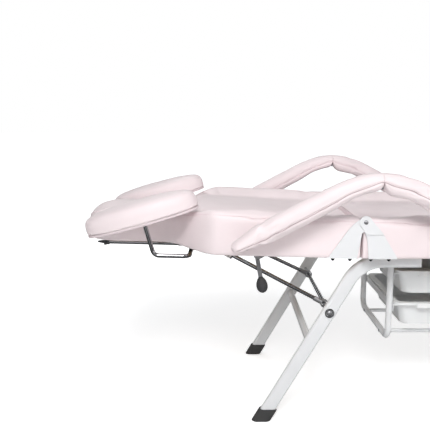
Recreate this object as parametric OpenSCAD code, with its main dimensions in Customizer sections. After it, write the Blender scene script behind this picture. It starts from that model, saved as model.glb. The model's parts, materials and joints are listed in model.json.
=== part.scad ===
// Adjustable pedicure spa chair, shown laid flat as a treatment bed.
// X runs from the foot end to the head end, Y across the chair, Z up from the floor.
// The hinge pin between seat and back is the reference line: x = 0 there, moved to
// hinge_x at the end so that the origin lies under the middle of the whole chair.

/* [Upholstery] */
// Height of the side seam at the hinge above the floor
seam_h = 600; // [590:5:620]
// Thickness of the seat and back cushions at the hinge
cushion_t = 101; // [96:1:106]
// Width of the seat and back sections
cushion_w = 600; // [580:10:620]
// Length of the seat and leg section from the hinge pin
seat_l = 798; // [780:1:820]
// Length of the back section from the hinge pin
back_l = 1000; // [960:1:1040]
// Width of the narrow leg rest at the foot end
tongue_w = 276; // [260:2:280]
// Upward slope of the seat underside toward the foot end, degrees
seat_rise = 1.4; // [0:0.1:2]
// Thickness of the plywood boards
board_t = 12; // [9:1:15]

/* [Base frame] */
// Height of the flat-oval leg tube in its bending plane
leg_tall = 40; // [36:1:44]
// Thickness of the flat-oval leg tube across the chair
leg_thick = 20; // [16:1:24]
// Distance of the front leg centre planes from the middle
front_leg_y = 246; // [240:1:252]
// Distance of the rear leg centre planes from the middle
rear_leg_y = 159; // [155:1:165]
// Slope of the legs from the horizontal, degrees
leg_slope = 60; // [58:1:62]
// Diameter of the round rear leg tube
rear_tube_d = 28; // [25:1:28]

/* [Storage rack] */
// Length of a tray along the chair
tray_l = 300; // [280:5:300]
// Width of a tray across the chair
tray_w = 344; // [330:2:350]
// Depth of a tray
tray_h = 75; // [60:5:80]
// Height of the upper tray rim above the floor
upper_tray_z = 428; // [420:1:430]
// Height step between the two trays
tray_pitch = 98; // [92:1:104]

/* [Armrests] */
// Distance of the armrest centre plane from the middle
arm_y = 355; // [350:1:360]
// Width of the armrest padding across the chair
arm_pad_w = 54; // [48:1:56]
// Thickness of the armrest padding
arm_pad_t = 60; // [56:1:60]

/* [Foot rests] */
// Distance of the foot pad centres from the middle
foot_pad_y = 226; // [225:1:232]
// Length of a foot pad
foot_pad_l = 326; // [300:2:330]
// Width of a foot pad
foot_pad_w = 158; // [140:2:158]
// Tilt of the foot pads, toes down, degrees
foot_pad_tilt = 15.5; // [12:0.5:18]
// Diameter of the chrome rods and rails
rod_d = 12; // [10:1:12]

/* [Hidden] */
$fn = 48;

// Finishes
PINK = [0.96, 0.86, 0.88];
WHITE = [0.92, 0.92, 0.93];
CHROME = [0.75, 0.76, 0.78];
BLACK = [0.08, 0.08, 0.09];
PLY = [0.72, 0.58, 0.40];
TRAY_WHITE = [0.90, 0.91, 0.90];
ZINC = [0.6, 0.6, 0.62];

// The origin lies under the middle of the chair
hinge_x = (seat_l - back_l) / 2 - 0.2;
under_z = seam_h - cushion_t;       // underside of the cushions at the hinge
fit = 0.05;                         // radial play of a running fit
wall = 2;                           // wall of the bent tubes

// Main hinge and the pivot of the whole top on the base
hinge = [0, seam_h - 3];
tilt_pivot = [8, under_z - 20.5];
half_w = cushion_w / 2;
side_gap = 0.3;

// Front legs: flat-oval tube, level under the cushions, then down to the floor
leg_bend_r = 110;
leg_z = under_z - 0.5 - leg_tall / 2;
leg_knee_x = 6;                     // where the two centre lines would meet
leg_back_x = 168;                   // open end of the level part
leg_cut_z = 10;
function leg_x(z) = leg_knee_x - (leg_z - z) / tan(leg_slope);

// Rear legs: round tube carrying the rack
rear_bend_r = 90;
rear_z = under_z - 1 - rear_tube_d / 2;
rear_knee_x = 520;
floor_bar_d = 32;
floor_cap_d = 44;
floor_bar_w = 500;
floor_bar_x = rear_knee_x + (rear_z - floor_cap_d / 2) / tan(leg_slope);
function rear_x(z) = rear_knee_x + (rear_z - z) / tan(leg_slope);

cross_d = 22;
cross_z = 237;
crossmember = [30, 60];             // x span of the square tube under the hinge
crossmember_h = 30;

// Sliding lock rods under the seat
shaft_d = 12;
shaft_z = 328;
shaft_x = leg_x(shaft_z);
eye_y = 165;                        // the rods run inward from the legs to the locks
clamp_y = 130;
clamp_at = [-365, 471.9];
rod_angle = atan2(clamp_at.y - shaft_z, shaft_x - clamp_at.x);
rod_reach = norm([clamp_at.x - shaft_x, clamp_at.y - shaft_z]);
rod_skew = atan2(eye_y - clamp_y, rod_reach);
rod_len = rod_reach / cos(rod_skew) + 19;
eye_play = 2.4;                     // the eye's bore takes up the arc of the seat

// Release lever beside the left lock
lever_y = 230;
lever_pivot = [-286, 489];
knob_z = 403;

// Rack
rack_x = 114;
rack_back_x = rack_x + tray_l + 28;
rack_tube = 19;
rack_bottom_z = 218;
rack_corner_r = 32;
runner = 20;                        // leg of the angle that carries a tray rim
rack_rail_y = 97;
rack_screw_d = 5;

// Armrest pivots in the x-z plane: front on the seat, apex, rear on the back
arm_a = [-322, 545];
arm_c = [24, 704.5];
arm_b = [2 * arm_c.x - arm_a.x, arm_a.y];
arm_bar_t = 6;
arm_bar_w = 20;
arm_arc_r = 230;                    // bend of the padding over the apex
arm_arc_a = 27.6;                   // slope of the straight part
arm_peak_z = 704.5;                 // centre of the padding at the apex

// Foot rest rails in the seat's own frame, measured from the underside
rail_y = 105;
rail_w = -14.5;
rail_span = [-759, -456];
rail_cap = 19;                      // length of the pointed caps on the rail ends
block_x = -516;                     // front face of the slider block at rest
block_l = 50;
foot_travel = 210;
foot_pad_at = [-603, 584];

// Back strut: lower pin on the seat, upper pin on the back
strut_low = [85, 445];
strut_top = [430, 478];
strut_angle = atan2(strut_top.y - strut_low.y, strut_top.x - strut_low.x);
strut_l = norm(strut_top - strut_low);
back_lever = [455, under_z - 14];

// ---------- shared helpers ----------

function mix(a, b, t) = a + (b - a) * t;
function ease(t) = let(c = min(1, max(0, t))) c * c * (3 - 2 * c);
// How far a quarter-round edge of radius r lies in at distance d from its end
function round_in(d, r) = d >= r ? 0 : r - sqrt(max(0, r * r - (r - d) * (r - d)));
// Half-width factor of a rounded plan end, 0 at its tip
function tip(d, r, n) = d >= r ? 1 : pow(1 - pow((r - d) / r, n), 1 / n);

// Closed skin through rings that hold the same number of points
module loft(rings) {
    m = len(rings);
    n = len(rings[0]);
    sides = [for (i = [0:m - 2], j = [0:n - 1], k = [0, 1])
        let (a = i * n + j, b = i * n + (j + 1) % n)
        k == 0 ? [a, a + n, b] : [b, a + n, b + n]];
    start = [for (j = [0:n - 1]) j];
    end = [for (j = [n - 1:-1:0]) (m - 1) * n + j];
    polyhedron([for (r = rings, p = r) p], concat(sides, [start, end]));
}

module both_sides() { children(); mirror([0, 1, 0]) children(); }
module left() children();
module right() mirror([0, 1, 0]) children();

// Places a child drawn along +X on the line from p to q in the x-z plane
module along(p, q, y) translate([p.x, y, p.y]) rotate([0, -atan2(q.y - p.y, q.x - p.x), 0]) children();

// The seat's own frame: origin under the hinge pin, level with the seat underside
module seat_frame() translate([0, 0, under_z]) rotate([0, seat_rise, 0]) children();
function seat_under(x) = under_z - x * tan(seat_rise);

module rod_x(l, d) rotate([0, 90, 0]) cylinder(h = l, d = d);
module rod_y(l, d) rotate([-90, 0, 0]) cylinder(h = l, d = d);
module plate_xz(t) rotate([90, 0, 0]) linear_extrude(t, center = true) children();

// Domed screw head with its shank, pointing down from its seat
module screw(head_d, head_h, shank_d, shank_l) {
    rotate_extrude() polygon(concat([[0, -head_h]],
        [for (a = [15:15:90]) [head_d / 2 * sin(a), -head_h * cos(a)]],
        [[shank_d / 2, 0], [shank_d / 2, shank_l], [0, shank_l]]));
}

// ---------- cushions ----------

// Plan half-width of the seat and leg section at distance x from the hinge
shoulder = [395, 560];
function seat_half(x) =
    mix(half_w - side_gap, tongue_w / 2, ease((x - shoulder[0]) / (shoulder[1] - shoulder[0])))
    * tip(seat_l - x, 105, 2.4);
function seat_side_h(x) =
    x < 402 ? cushion_t + 12 * x / 402 : mix(cushion_t + 12, 84, ease((x - 402) / 130));
function back_half(x) =
    mix(half_w - side_gap, 240, ease((x - 690) / 260)) * tip(back_l - x, 90, 2.2);
function back_side_h(x) = mix(cushion_t, 84, ease((x - 760) / 240));

// Half profile from the bottom edge over the bolster to the middle of the panel:
// w half-width, h height of the side, c bolster crest and v panel level above the side
function half_profile(w, h, c, v) = let (s = w / half_w) [
    [w - 8 * s, 0], [w - 2 * s, 7], [w - 3 * s, h * 0.45], [w - s, h - 12],
    [w - 4 * s, h - 3], [w - 13 * s, h + c * 0.6 - 0.5], [w - 30 * s, h + c],
    [w - 46 * s, h + c * 0.95], [w - 66 * s, h + mix(v, c, 0.68)],
    [w - 88 * s, h + mix(v, c, 0.2)], [w - 106 * s, h + v],
    [w * 0.45, h + v + 4], [w * 0.22, h + v + 6]];

function ring(x, w, h, c, v) = let (side = half_profile(w, h, c, v), n = len(side)) concat(
    [for (p = side) [x, p[0], p[1]]], [[x, 0, h + v + 7]],
    [for (i = [n - 1:-1:0]) [x, -side[i][0], side[i][1]]]);

// Bolsters stand along the wide part and die out at the shoulder
function seat_ring(d, end_r) = let (
    x = d, e = round_in(x - seat_start, end_r), t = round_in(seat_l - x, 46),
    b = 1 - ease((x - 385) / 110))
    ring(-x, seat_half(x) - e, seat_side_h(x) - e - t, 7 * b, mix(1, -19, b));
function back_ring(d, end_r) = let (
    x = d, e = round_in(x - back_start, end_r), t = round_in(back_l - x, 34),
    b = 1 - ease((x - 760) / 150))
    ring(x, back_half(x) - e, back_side_h(x) - e - t, 7 * b, mix(1, -19, b));

end_r = 12;
seat_start = 10.5;                  // the cushions part here, clear of each other over the whole hinge
back_start = -4.5;
end_steps = [for (a = [0:22.5:90]) end_r * (1 - cos(a))];
seat_stations = concat(
    [for (d = end_steps) seat_start + d], [for (x = [70:80:310]) x], [360, 395], [for (x = [415:20:555]) x],
    [600, 650], [for (a = [0:15:75]) seat_l - 105 * (1 - sin(a))], [seat_l - 1.2]);
back_stations = concat(
    [for (d = end_steps) d + back_start], [for (x = [60:100:660]) x], [for (x = [710:50:860]) x],
    [for (a = [0:15:75]) back_l - 90 * (1 - sin(a))], [back_l - 1]);

// Board outline inside a cushion, drawn in by m
module board_outline(stations, half, dir, m) {
    inner = [for (x = stations) if (half(x) > m + 25) [x, half(x) - m]];
    polygon(concat([for (p = inner) [dir * p[0], p[1]]],
        [for (i = [len(inner) - 1:-1:0]) [dir * inner[i][0], -inner[i][1]]]));
}
seat_board_x = concat([18, 395], [for (x = [415:20:555]) x], [600],
    [for (a = [0:15:75]) seat_l - 14 - 91 * (1 - sin(a))]);
back_board_x = concat([2, 690], [for (x = [740:50:890]) x],
    [for (a = [0:15:75]) back_l - 14 - 76 * (1 - sin(a))]);
seat_plan = function (x) seat_half(x);
back_plan = function (x) back_half(x);
skirt = 16;                         // upholstery that wraps the edge of a board

module seat_cushion() color(PINK) seat_frame() difference() {
    loft([for (d = seat_stations) seat_ring(d, end_r)]);
    translate([0, 0, -1]) linear_extrude(board_t + 1) board_outline(seat_board_x, seat_plan, -1, skirt);
}
module seat_board() color(PLY) seat_frame() linear_extrude(board_t - 0.1)
    board_outline(seat_board_x, seat_plan, -1, skirt + 0.3);

module back_cushion() color(PINK) translate([0, 0, under_z]) difference() {
    mirror([1, 0, 0]) loft([for (d = back_stations) [for (p = back_ring(d, end_r)) [-p.x, p.y, p.z]]]);
    translate([0, 0, -1]) linear_extrude(board_t + 1) board_outline(back_board_x, back_plan, 1, skirt);
}
module back_board() color(PLY) translate([0, 0, under_z]) linear_extrude(board_t - 0.1)
    board_outline(back_board_x, back_plan, 1, skirt + 0.3);

// ---------- base frame ----------

// Flat-oval outline from circles and a square, so that its curves stay true
module oval_2d(h, w) {
    square([h - w, w], center = true);
    for (s = [-1, 1]) translate([s * (h - w) / 2, 0]) circle(d = w);
}
module ring_2d(d) difference() { circle(d = d); circle(d = d - 2 * wall); }

leg_tangent = leg_bend_r * tan(leg_slope / 2);
swell = 0.3;                        // the mandrel leaves a bend slightly thicker than its runs
lap = 2;                            // the runs reach this far into the bend

// Outline swept along a level run, a bend and a run down at the leg slope. The frame is
// the bend's centre with y up; the level run goes to +x and the other one to -x.
// Its children are the outline in the bend and the outline in the runs.
module leg_path(r, level, run) {
    rotate([0, 0, 90]) rotate_extrude(angle = leg_slope, $fn = 96) translate([r, 0]) children(0);
    translate([-lap, r, 0]) rotate([0, 90, 0]) rotate([0, 0, 90]) linear_extrude(level + lap) children(1);
    rotate([0, 0, 90 + leg_slope]) translate([r, run, 0]) rotate([90, 0, 0])
        linear_extrude(run + lap) children(1);
}
front_level = leg_back_x - leg_knee_x - leg_tangent;
front_run = 560 - leg_tangent;
rear_tangent = rear_bend_r * tan(leg_slope / 2);
rear_level = rear_knee_x - rear_tangent - crossmember[1];
rear_run = (rear_z - floor_cap_d / 2) / sin(leg_slope) - rear_tangent;

module front_leg() color(WHITE) difference() {
    translate([leg_knee_x + leg_tangent, -front_leg_y, leg_z - leg_bend_r]) rotate([90, 0, 0]) difference() {
        leg_path(leg_bend_r, front_level, front_run) {
            oval_2d(leg_tall + swell, leg_thick + swell);
            oval_2d(leg_tall, leg_thick);
        }
        leg_path(leg_bend_r, front_level, front_run) {
            oval_2d(leg_tall - 2 * wall + swell, leg_thick - 2 * wall + swell);
            oval_2d(leg_tall - 2 * wall, leg_thick - 2 * wall);
        }
    }
    translate([-500, -front_leg_y - 50, -60]) cube([400, 100, 60 + leg_cut_z]);
    translate([shaft_x, -front_leg_y - 20, shaft_z]) rod_y(40, 8.4);
}

module rear_leg() color(WHITE) difference() {
    translate([rear_knee_x - rear_tangent, -rear_leg_y, rear_z - rear_bend_r]) mirror([1, 0, 0])
        rotate([90, 0, 0]) difference() {
            leg_path(rear_bend_r, rear_level, rear_run) {
                circle(d = rear_tube_d + swell);
                circle(d = rear_tube_d);
            }
            leg_path(rear_bend_r, rear_level, rear_run) {
                circle(d = rear_tube_d - 2 * wall + swell);
                circle(d = rear_tube_d - 2 * wall);
            }
        }
    translate([floor_bar_x, -floor_bar_w / 2, floor_cap_d / 2]) rod_y(floor_bar_w, floor_bar_d + 0.1);
}

module leg_end_plugs() color(WHITE) both_sides() translate([leg_back_x, -front_leg_y, leg_z]) {
    rotate([0, 90, 0]) linear_extrude(3) oval_2d(leg_tall, leg_thick);
    translate([-14, 0, 0]) rotate([0, 90, 0]) linear_extrude(14)
        oval_2d(leg_tall - 2 * wall - 0.2, leg_thick - 2 * wall - 0.2);
}

// Square tube between the front legs, with the ears that carry the tilting top
module front_crossmember() color(WHITE) {
    inner = front_leg_y - (leg_thick + swell) / 2;
    difference() {
        translate([crossmember[0], -inner, leg_z - crossmember_h / 2])
            cube([crossmember[1] - crossmember[0], 2 * inner, crossmember_h]);
        translate([crossmember[0] + wall, -inner - 1, leg_z - crossmember_h / 2 + wall])
            cube([crossmember[1] - crossmember[0] - 2 * wall, 2 * inner + 2, crossmember_h - 2 * wall]);
    }
    for (s = [-1, 1]) translate([0, s * 126, 0]) difference() {
        union() {
            translate([tilt_pivot.x, -3, tilt_pivot.y]) rod_y(6, 26);
            translate([tilt_pivot.x, -3, tilt_pivot.y - 13]) cube([crossmember[0] - tilt_pivot.x, 6, 26]);
        }
        translate([tilt_pivot.x, -4, tilt_pivot.y]) rod_y(8, shaft_d);
    }
}

// Short ties between the ends of the front legs and the rear legs
module frame_links() color(WHITE) both_sides() difference() {
    translate([140, -front_leg_y + leg_thick / 2, rear_z])
        rod_y(front_leg_y - leg_thick / 2 - rear_leg_y, 20);
    translate([120, -rear_leg_y, rear_z]) rod_x(40, rear_tube_d + 0.1);
}

// Spreader tubes between the two front legs and between the two rear legs
module cross_bars() color(WHITE) {
    inner = front_leg_y - leg_thick / 2;
    translate([leg_x(cross_z), -inner, cross_z]) rotate([-90, 0, 0])
        linear_extrude(2 * inner) ring_2d(cross_d);
    difference() {
        translate([rear_x(cross_z), -rear_leg_y, cross_z]) rotate([-90, 0, 0])
            linear_extrude(2 * rear_leg_y) ring_2d(cross_d);
        both_sides() translate([rear_x(cross_z + 60), -rear_leg_y, cross_z + 60]) rotate([0, leg_slope, 0])
            rod_x(140, rear_tube_d + 0.1);
    }
}
module rear_floor_bar() color(WHITE) translate([floor_bar_x, -floor_bar_w / 2 + 6, floor_cap_d / 2])
    rotate([-90, 0, 0]) linear_extrude(floor_bar_w - 12) ring_2d(floor_bar_d);

// Oval boots on the front legs and round caps on the floor bar
module rubber_feet() color(BLACK) both_sides() {
    difference() {
        intersection() {
            translate([leg_x(0), -front_leg_y, 0]) rotate([0, -leg_slope, 0]) translate([-40, 0, 0])
                rotate([0, 90, 0]) linear_extrude(90) oval_2d(leg_tall + 8, leg_thick + 8);
            translate([-400, -front_leg_y - 30, 0]) cube([300, 60, 36]);
        }
        intersection() {
            translate([leg_x(0), -front_leg_y, 0]) rotate([0, -leg_slope, 0]) translate([-40, 0, 0])
                rotate([0, 90, 0]) linear_extrude(120) oval_2d(leg_tall + 0.1, leg_thick + 0.1);
            translate([-400, -front_leg_y - 30, leg_cut_z]) cube([300, 60, 60]);
        }
    }
    translate([floor_bar_x, -floor_bar_w / 2, floor_cap_d / 2]) difference() {
        union() { rod_y(30, floor_cap_d); translate([0, -4, 0]) rod_y(4, floor_cap_d - 8); }
        translate([0, 6, 0]) rod_y(30, floor_bar_d + 0.1);
    }
}

module strut_shaft() color(CHROME) {
    inner = front_leg_y - leg_thick / 2;
    difference() {
        translate([shaft_x, -inner, shaft_z]) rod_y(2 * inner, shaft_d);
        both_sides() translate([shaft_x, -inner - 1, shaft_z]) rod_y(21, 8.1);
    }
}
module shaft_bolts() color(ZINC) both_sides()
    translate([shaft_x, -front_leg_y - leg_thick / 2, shaft_z]) rotate([-90, 0, 0]) screw(18, 6, 8, 38);

// Pins fixed in the ears of the crossmember, with a collar inside the seat's ears
module tilt_pins() color(ZINC) both_sides() translate([tilt_pivot.x, -129, tilt_pivot.y]) {
    rod_y(14.2, shaft_d);
    for (y = [-4, 14.2]) translate([0, y, 0]) rod_y(4, 19);
}

// ---------- storage rack ----------

module hoop(x) difference() {
    r = rack_corner_r;
    w = rear_leg_y - r;
    union() {
        for (s = [-1, 1]) {
            translate([x, s * rear_leg_y, rack_bottom_z + r])
                linear_extrude(rear_z - rack_bottom_z - r) ring_2d(rack_tube);
            translate([x, s * w, rack_bottom_z + r]) rotate([0, 90, 0]) rotate([0, 0, s > 0 ? 0 : -90])
                rotate_extrude(angle = 90) translate([r, 0]) ring_2d(rack_tube);
        }
        translate([x, -w, rack_bottom_z]) rotate([-90, 0, 0]) linear_extrude(2 * w) ring_2d(rack_tube);
    }
    both_sides() translate([x - 30, -rear_leg_y, rear_z]) rod_x(60, rear_tube_d + 0.1);
    both_sides() translate([x - 15, -rack_rail_y, rack_bottom_z]) rod_x(30, rack_screw_d);
}
module rack_hoops() color(WHITE) for (x = [rack_x, rack_back_x]) hoop(x);

// Angles inside the hoops on which the tray rims slide
module rack_runners() color(WHITE) for (i = [0, 1]) {
    z = upper_tray_z - 6 - i * tray_pitch;
    translate([rack_x + rack_tube / 2, -168, z]) runner_angle();
    translate([rack_back_x - rack_tube / 2, -168, z]) mirror([1, 0, 0]) runner_angle();
}
module runner_angle() {
    translate([0, 0, -runner]) cube([2, 336, runner]);
    translate([0, 0, -2]) cube([14, 336, 2]);
}

module rack_base_rails() color(WHITE) both_sides()
    translate([rack_x + rack_tube / 2, -rack_rail_y, rack_bottom_z]) difference() {
        span = rack_back_x - rack_x - rack_tube;
        rod_x(span, rod_d);
        for (x = [-1, span - 11]) translate([x, 0, 0]) rod_x(12, rack_screw_d);
    }

module rack_screws() color(ZINC) both_sides() {
    reach = rack_tube + 11;
    translate([rack_x - rack_tube / 2, -rack_rail_y, rack_bottom_z]) rotate([0, 90, 0])
        screw(10, 3, rack_screw_d, reach);
    translate([rack_back_x + rack_tube / 2, -rack_rail_y, rack_bottom_z]) rotate([0, -90, 0])
        screw(10, 3, rack_screw_d, reach);
}

module rounded(l, w, r) hull() for (sx = [-1, 1], sy = [-1, 1])
    translate([sx * (l / 2 - r), sy * (w / 2 - r)]) circle(r = r, $fn = 32);

// Tapered tub with a flat rim and a moulded pull along the near edge
module tray(z) color(TRAY_WHITE) translate([rack_x + 14 + tray_l / 2, 0, z]) {
    l = tray_l - 28;
    w = tray_w - 26;
    difference() {
        union() {
                translate([0, 0, -5.9]) linear_extrude(5.9) rounded(tray_l, tray_w, 22);
            hull() {
                translate([0, 0, -6]) linear_extrude(2) rounded(l, w, 20);
                translate([0, 0, -tray_h]) linear_extrude(2) rounded(l - 34, w - 34, 26);
            }
        }
        hull() {
            translate([0, 0, 1]) linear_extrude(1) rounded(l - 4, w - 4, 19);
            translate([0, 0, -tray_h + 3]) linear_extrude(1) rounded(l - 38, w - 38, 24);
        }
    }
    translate([-85, -tray_w / 2 - 3, -14]) cube([170, 4, 14]);
}
module upper_tray() tray(upper_tray_z);
module lower_tray() tray(upper_tray_z - tray_pitch);

// ---------- lock rods of the seat ----------

module at_eye() translate([shaft_x, -eye_y, shaft_z]) rotate([0, rod_angle - 180, 0]) children();

module strut_rod() color(CHROME) at_eye() rotate([0, 0, rod_skew]) translate([20, 0, 0])
    rod_x(rod_len - 20, rod_d);
module strut_eye() color(ZINC) at_eye() difference() {
    union() {
        translate([0, -7, 0]) rod_y(14, 24);
        rotate([0, 0, rod_skew]) rod_x(34, 15);
    }
    translate([0, -14, 0]) rod_y(28, shaft_d + 2 * eye_play);
    rotate([0, 0, rod_skew]) translate([20, 0, 0]) rod_x(30, rod_d);
}
// Lock bodies round the rods, hung on the underframe by their trunnions
module strut_clamps() color(BLACK) both_sides()
    translate([clamp_at.x, -clamp_y, clamp_at.y]) rotate([0, rod_angle - 180, 0]) difference() {
        union() {
            rotate([0, 0, rod_skew]) translate([-15, 0, 0]) rod_x(30, 24);
            translate([0, -18.5, 0]) rod_y(37, 10);
        }
        rotate([0, 0, rod_skew]) translate([-18, 0, 0]) rod_x(36, rod_d + 2 * fit);
    }

// ---------- under the seat ----------

frame_rail_y = 100;
module seat_underframe() color(WHITE) {
    // long rails of rectangular tube under the board
    seat_frame() both_sides() translate([-440, -frame_rail_y - 12.5, -15]) difference() {
        cube([420, 25, 15]);
        translate([-1, 2, 2]) cube([422, 21, 11]);
    }
    // plates that carry the lock bodies, with an ear each side of the rod
    both_sides() {
        seat_frame() translate([clamp_at.x - 22, -clamp_y - 20, -3])
            cube([44, clamp_y + 20 - frame_rail_y - 12.5, 3]);
        for (s = [-1, 1]) translate([clamp_at.x, -clamp_y + s * 18, clamp_at.y]) difference() {
            union() {
                translate([0, -2, 0]) rod_y(4, 18);
                translate([-9, -2, 0]) cube([18, 4, seat_under(clamp_at.x) - clamp_at.y - 1.5]);
            }
            translate([0, -3, 0]) rod_y(6, 10 + 2 * fit);
        }
    }
    // ears of the tilt pivot
    both_sides() translate([0, -118, 0]) difference() {
        union() {
            translate([tilt_pivot.x, -3, tilt_pivot.y]) rod_y(6, 26);
            plate_xz(6)
                polygon([[-60, under_z - 4], [-22, under_z - 4], [tilt_pivot.x + 5, tilt_pivot.y + 12],
                    [tilt_pivot.x, tilt_pivot.y - 13], [-34, tilt_pivot.y - 3]]);
        }
        translate([tilt_pivot.x, -4, tilt_pivot.y]) rod_y(12, shaft_d + 2 * fit);
    }
    // cross rail and the tail that carries the lower end of the back strut
    translate([-60, -frame_rail_y, under_z - 16]) cube([25, 2 * frame_rail_y, 14]);
    for (s = [-1, 1]) translate([0, s * 16, 0]) difference() {
        plate_xz(5) union() {
            polygon([[-60, under_z - 8], [-35, under_z - 8], [-10, 470], [22, 452], [62, 445],
                [strut_low.x, 457], [strut_low.x, 433], [40, 431], [0, 436], [-50, 470]]);
            translate([strut_low.x, strut_low.y]) circle(d = 24);
        }
        translate([strut_low.x, -4, strut_low.y]) rod_y(8, 10 + 2 * fit);
    }
    // bracket of the release lever
    seat_frame() translate([lever_pivot.x - 12, -lever_y - 12, -3])
        cube([24, lever_y + 12 - frame_rail_y - 12.5, 3]);
    translate([lever_pivot.x, -lever_y + 7, lever_pivot.y]) difference() {
        union() {
            translate([0, -2, 0]) rod_y(4, 16);
            translate([-8, -2, 0]) cube([16, 4, seat_under(lever_pivot.x) - lever_pivot.y - 1.5]);
        }
        translate([0, -3, 0]) rod_y(6, 8 + 2 * fit);
    }
}

module release_lever() color(ZINC) translate([lever_pivot.x, -lever_y, lever_pivot.y]) {
    rotate([0, -10, 0]) translate([-6, -2, -62]) cube([12, 4, 62]);
    translate([0, -2, 0]) rod_y(4, 18);
    rod_y(10, 8);
    translate([3, 0, -9]) rotate([0, -27, 0]) rod_x(40, 7);
}
// Teardrop grip on the end of the lever
module lever_knob() color(BLACK) translate([lever_pivot.x, -lever_y, lever_pivot.y]) rotate([0, -10, 0])
    translate([0, 0, -62]) rotate_extrude() polygon(concat([[0, 0], [6, 0]],
        [for (a = [30:15:180]) [16 * sin(a) * (1 - 0.16 * cos(a)), -24 + 24 * cos(a)]]));

// ---------- hinge plates ----------

plate_t = 3;
plate_y = half_w + plate_t / 2;
fold_z = seam_h - 34;               // joggle across both plates

// Seat plate outline from its flange to the eye round the hinge pin
module seat_plate_2d() {
    polygon([[-98, under_z], [-94, 505], [-64, 549], [-46, 575], [-33, 590], [-20, 601],
        [hinge.x - 7, hinge.y + 12], [hinge.x + 12, hinge.y - 8], [-9, fold_z], [-20, under_z]]);
    translate(hinge) circle(d = 28);
}
module back_plate_2d(upper) intersection() {
    union() {
        polygon([[11, under_z], [88, under_z], [84, 506], [46, 568], [31, 586],
            [hinge.x + 14, hinge.y + 8], [hinge.x - 15, hinge.y - 7], [0, fold_z], [6, 550]]);
        translate(hinge) circle(r = 17);
    }
    translate([-40, upper ? fold_z - 3 : 400]) square([200, upper ? 200 : fold_z - 400]);
}
// Flange under the cushion edge, with a hole for each screw
module plate_flange(x, z, holes, slope) translate([0, 0, z]) rotate([0, slope, 0]) difference() {
    translate([x[0], -half_w - plate_t, -plate_t]) cube([x[1] - x[0], 34, plate_t]);
    for (h = holes) translate([h, -screw_y, -5]) cylinder(h = 6, d = 6.4);
}
screw_y = half_w - 21;
seat_holes = [-81, -34];
back_holes = [23, 72];

module seat_hinge_plates() color(WHITE) both_sides() {
    difference() {
        translate([0, -plate_y, 0]) plate_xz(plate_t) seat_plate_2d();
        translate([hinge.x, -half_w - 4, hinge.y]) rod_y(8, 8 + 2 * fit);
    }
    plate_flange([-100, -20], under_z, seat_holes, seat_rise);
}
module back_hinge_plates() color(WHITE) both_sides() {
    translate([0, -plate_y, 0]) plate_xz(plate_t) back_plate_2d(false);
    difference() {
        translate([0, -plate_y - plate_t - 0.3, 0]) plate_xz(plate_t) back_plate_2d(true);
        translate([hinge.x, -half_w - 8, hinge.y]) rod_y(8, 8);
    }
    translate([3.5, -half_w - 2 * plate_t - 0.3, fold_z - 3]) cube([30, 2 * plate_t + 0.3, 3]);
    plate_flange([11, 88], under_z, back_holes, 0);
}
module hinge_bolts() color(ZINC) both_sides() translate([hinge.x, -half_w - 2 * plate_t - 0.3, hinge.y])
    rotate([-90, 0, 0]) screw(12, 3, 8, 6.2);

module plate_screws(holes) both_sides() for (x = holes)
    translate([x, -screw_y, -plate_t]) screw(13, 12, 6, 12);
module seat_plate_screws() color(BLACK) seat_frame() plate_screws(seat_holes);
module back_plate_screws() color(BLACK) translate([0, 0, under_z]) plate_screws(back_holes);

// ---------- armrests ----------

// Plates on the cushion sides; the front ones carry the bolt on which the arm turns, and
// the rear ones end in a boss beside the rear bar, where the linkage is left open
module arm_pivot_plate(p, dir) translate([p.x - (dir < 0 ? 34 : 10), -half_w - 3, p.y - 7]) cube([44, 3, 34]);
module arm_front_pivots() color(ZINC) both_sides() {
    bar = arm_y - arm_bar_t / 2;
    arm_pivot_plate(arm_a, 1);
    translate([arm_a.x, 0, arm_a.y]) {
        translate([0, -bar + 0.5, 0]) rod_y(bar - half_w - 1, 14);
        translate([0, -bar - arm_bar_t - 0.5, 0]) rod_y(arm_bar_t + 2, 10);
        translate([0, -bar - arm_bar_t - 5.5, 0]) rod_y(5, 18);
    }
}
module arm_rear_pivots() color(ZINC) both_sides() {
    arm_pivot_plate(arm_b, -1);
    translate([arm_b.x, -arm_y + arm_pad_w / 2 + 1, arm_b.y]) rod_y(arm_y - arm_pad_w / 2 - half_w - 2, 20);
}

// Centre line of the front half of the padding: straight, then bent over the apex
arc_run = arm_arc_r * sin(arm_arc_a);
arc_foot = [arm_c.x - arc_run, arm_peak_z - arm_arc_r * (1 - cos(arm_arc_a))];
pad_straight = (arc_foot.x - arm_a.x) / cos(arm_arc_a);
function pad_centre(s) = s < pad_straight
    ? [arc_foot.x - (pad_straight - s) * cos(arm_arc_a), arc_foot.y - (pad_straight - s) * sin(arm_arc_a),
        arm_arc_a]
    : let (a = arm_arc_a - (s - pad_straight) / arm_arc_r * 180 / PI)
        [arm_c.x - arm_arc_r * sin(a), arm_peak_z - arm_arc_r * (1 - cos(a)), a];
pad_len = pad_straight + arm_arc_r * arm_arc_a * PI / 180;

// The padding narrows toward its free end, and its lower side is drawn up toward the apex:
// gently under the front half, and with a short roll under the rear half
function pad_slim(s) = 1 - 0.48 * (1 - ease((s + 26) / 88));
function front_low(away) = 1 - 0.5 * max(0, 1 - away / 135);
function rear_low(away) = 1 - 0.5 * (1 - ease(away / 30));
// Oval section, scaled by k toward the closed end, its lower half also by low
function pad_ring(s, k, low) = let (c = pad_centre(s), h = arm_pad_t / 2 * k * pad_slim(s))
    [for (i = [0:15]) let (
    t = i * 22.5,
    y = arm_pad_w / 2 * k * sign(cos(t)) * pow(abs(cos(t)), 0.8),
    v = h * (sin(t) < 0 ? low : 1) * sign(sin(t)) * pow(abs(sin(t)), 0.85))
    [c[0] - v * sin(c[2]), y, c[1] + v * cos(c[2])]];

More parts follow.
